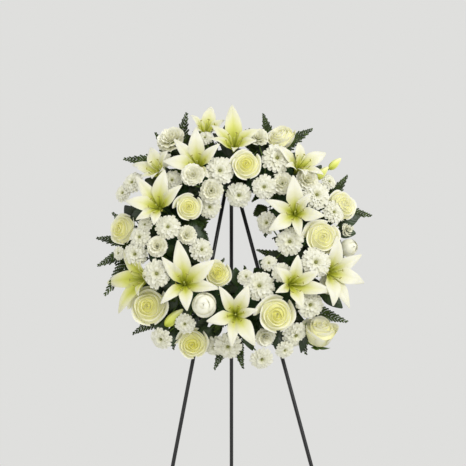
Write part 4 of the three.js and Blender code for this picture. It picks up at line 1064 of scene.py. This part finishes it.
def leaf(start, end, wide, bare=0.3, arch=0.10, roll=0.0):
    """A pointed oval leaf on its stalk. Past the stalk its width is sin(pi t^0.85)^0.85, its halves fold
    down from the midrib by a sixth of their width, it arches to the front by arch * length * 4 t (1 - t)
    and its tip sinks by t^3. Roll turns it about its length."""
    long, along, side, front = facing(start, end)
    front, side = front * np.cos(roll) + side * np.sin(roll), side * np.cos(roll) - front * np.sin(roll)
    s, t = (value[..., None] for value in span(13, 9))
    half = wide / 2 * np.sin(np.pi * (0.02 + 0.96 * t ** 0.85)) ** 0.85
    far = bare + (1 - bare) * t
    lift = arch * long * 4 * far * (1 - far) - 0.17 * half * np.abs(s) - 0.06 * long * t ** 3
    grid = start + along * long * far + side * half * s + front * lift
    t = np.linspace(0, bare + 0.02, 4)[:, None]
    stalk = start + along * long * t + front * arch * long * 4 * t * (1 - t)
    return [(row(blades(grid, LEAF_THICK)), salal_leaf, chance.uniform(0, 1)),
            (row(tube(stalk, 1.1, 6)), green_stem)]


for node, (right, up), tips in LEAFY_STEMS:
    base = seat(right, up, LEAFY_STAND)[0]
    parts = [stem(base, foot_of(base), THIN_STEM)]
    for tip in tips:
        parts += leaf(base, seen(*tip, TIP_DEPTH), LEAFY_WIDTH)
    piece(f"{node}_spray", parts, "stand", [node])

parts = []
for (right, up), tip, wide in LOOSE_LEAVES:
    parts += leaf(seat(right, up, LOOSE_STAND)[0], seen(*tip, LOOSE_TIP_DEPTH), wide)
piece("salal_leaves", parts, "stand", [])

# Greenery under the blooms: leaves and short fronds in the foam's front, at even turns round the
# ring with a seeded scatter.
UNDER_LEAVES, OUTER_LEAVES, UNDER_FRONDS = 104, 48, 30
UNDER_ROOT, OUTER_ROOT = 30, 34
parts = []
for i in range(UNDER_LEAVES):
    turn = 2 * np.pi * (i + chance.uniform(-0.5, 0.5)) / UNDER_LEAVES
    tip = np.radians(chance.uniform(-62, 62))
    start = in_ring(turn, tip, UNDER_ROOT)
    drift = chance.uniform(-0.35, 0.35)
    end = in_ring(turn + drift, tip + np.radians(chance.uniform(-25, 25)), chance.uniform(62, 84))
    parts += leaf(start, end, chance.uniform(24, 34), 0.2, 0.05, chance.uniform(-0.7, 0.7))
for i in range(OUTER_LEAVES):
    turn = 2 * np.pi * (i + chance.uniform(-0.4, 0.4)) / OUTER_LEAVES
    tip = np.radians(chance.uniform(60, 84))
    end = in_ring(turn + chance.uniform(-0.2, 0.2), tip, chance.uniform(78, 96))
    start = in_ring(turn, tip, OUTER_ROOT)
    parts += leaf(start, end, chance.uniform(24, 32), 0.15, 0.08, chance.uniform(-0.6, 0.6))
piece("under_leaves", parts, "stand", [])
parts = []
for i in range(UNDER_FRONDS):
    turn = 2 * np.pi * (i + chance.uniform(-0.4, 0.4)) / UNDER_FRONDS
    tip = np.radians(chance.choice([-1, 1]) * chance.uniform(30, 75))
    start = in_ring(turn, tip, UNDER_ROOT)
    end = in_ring(turn + chance.uniform(-0.25, 0.25), tip, chance.uniform(80, 100))
    parts += frond(start, end, chance.uniform(26, 36), 0.2)
piece("under_fronds", parts, "stand", [])
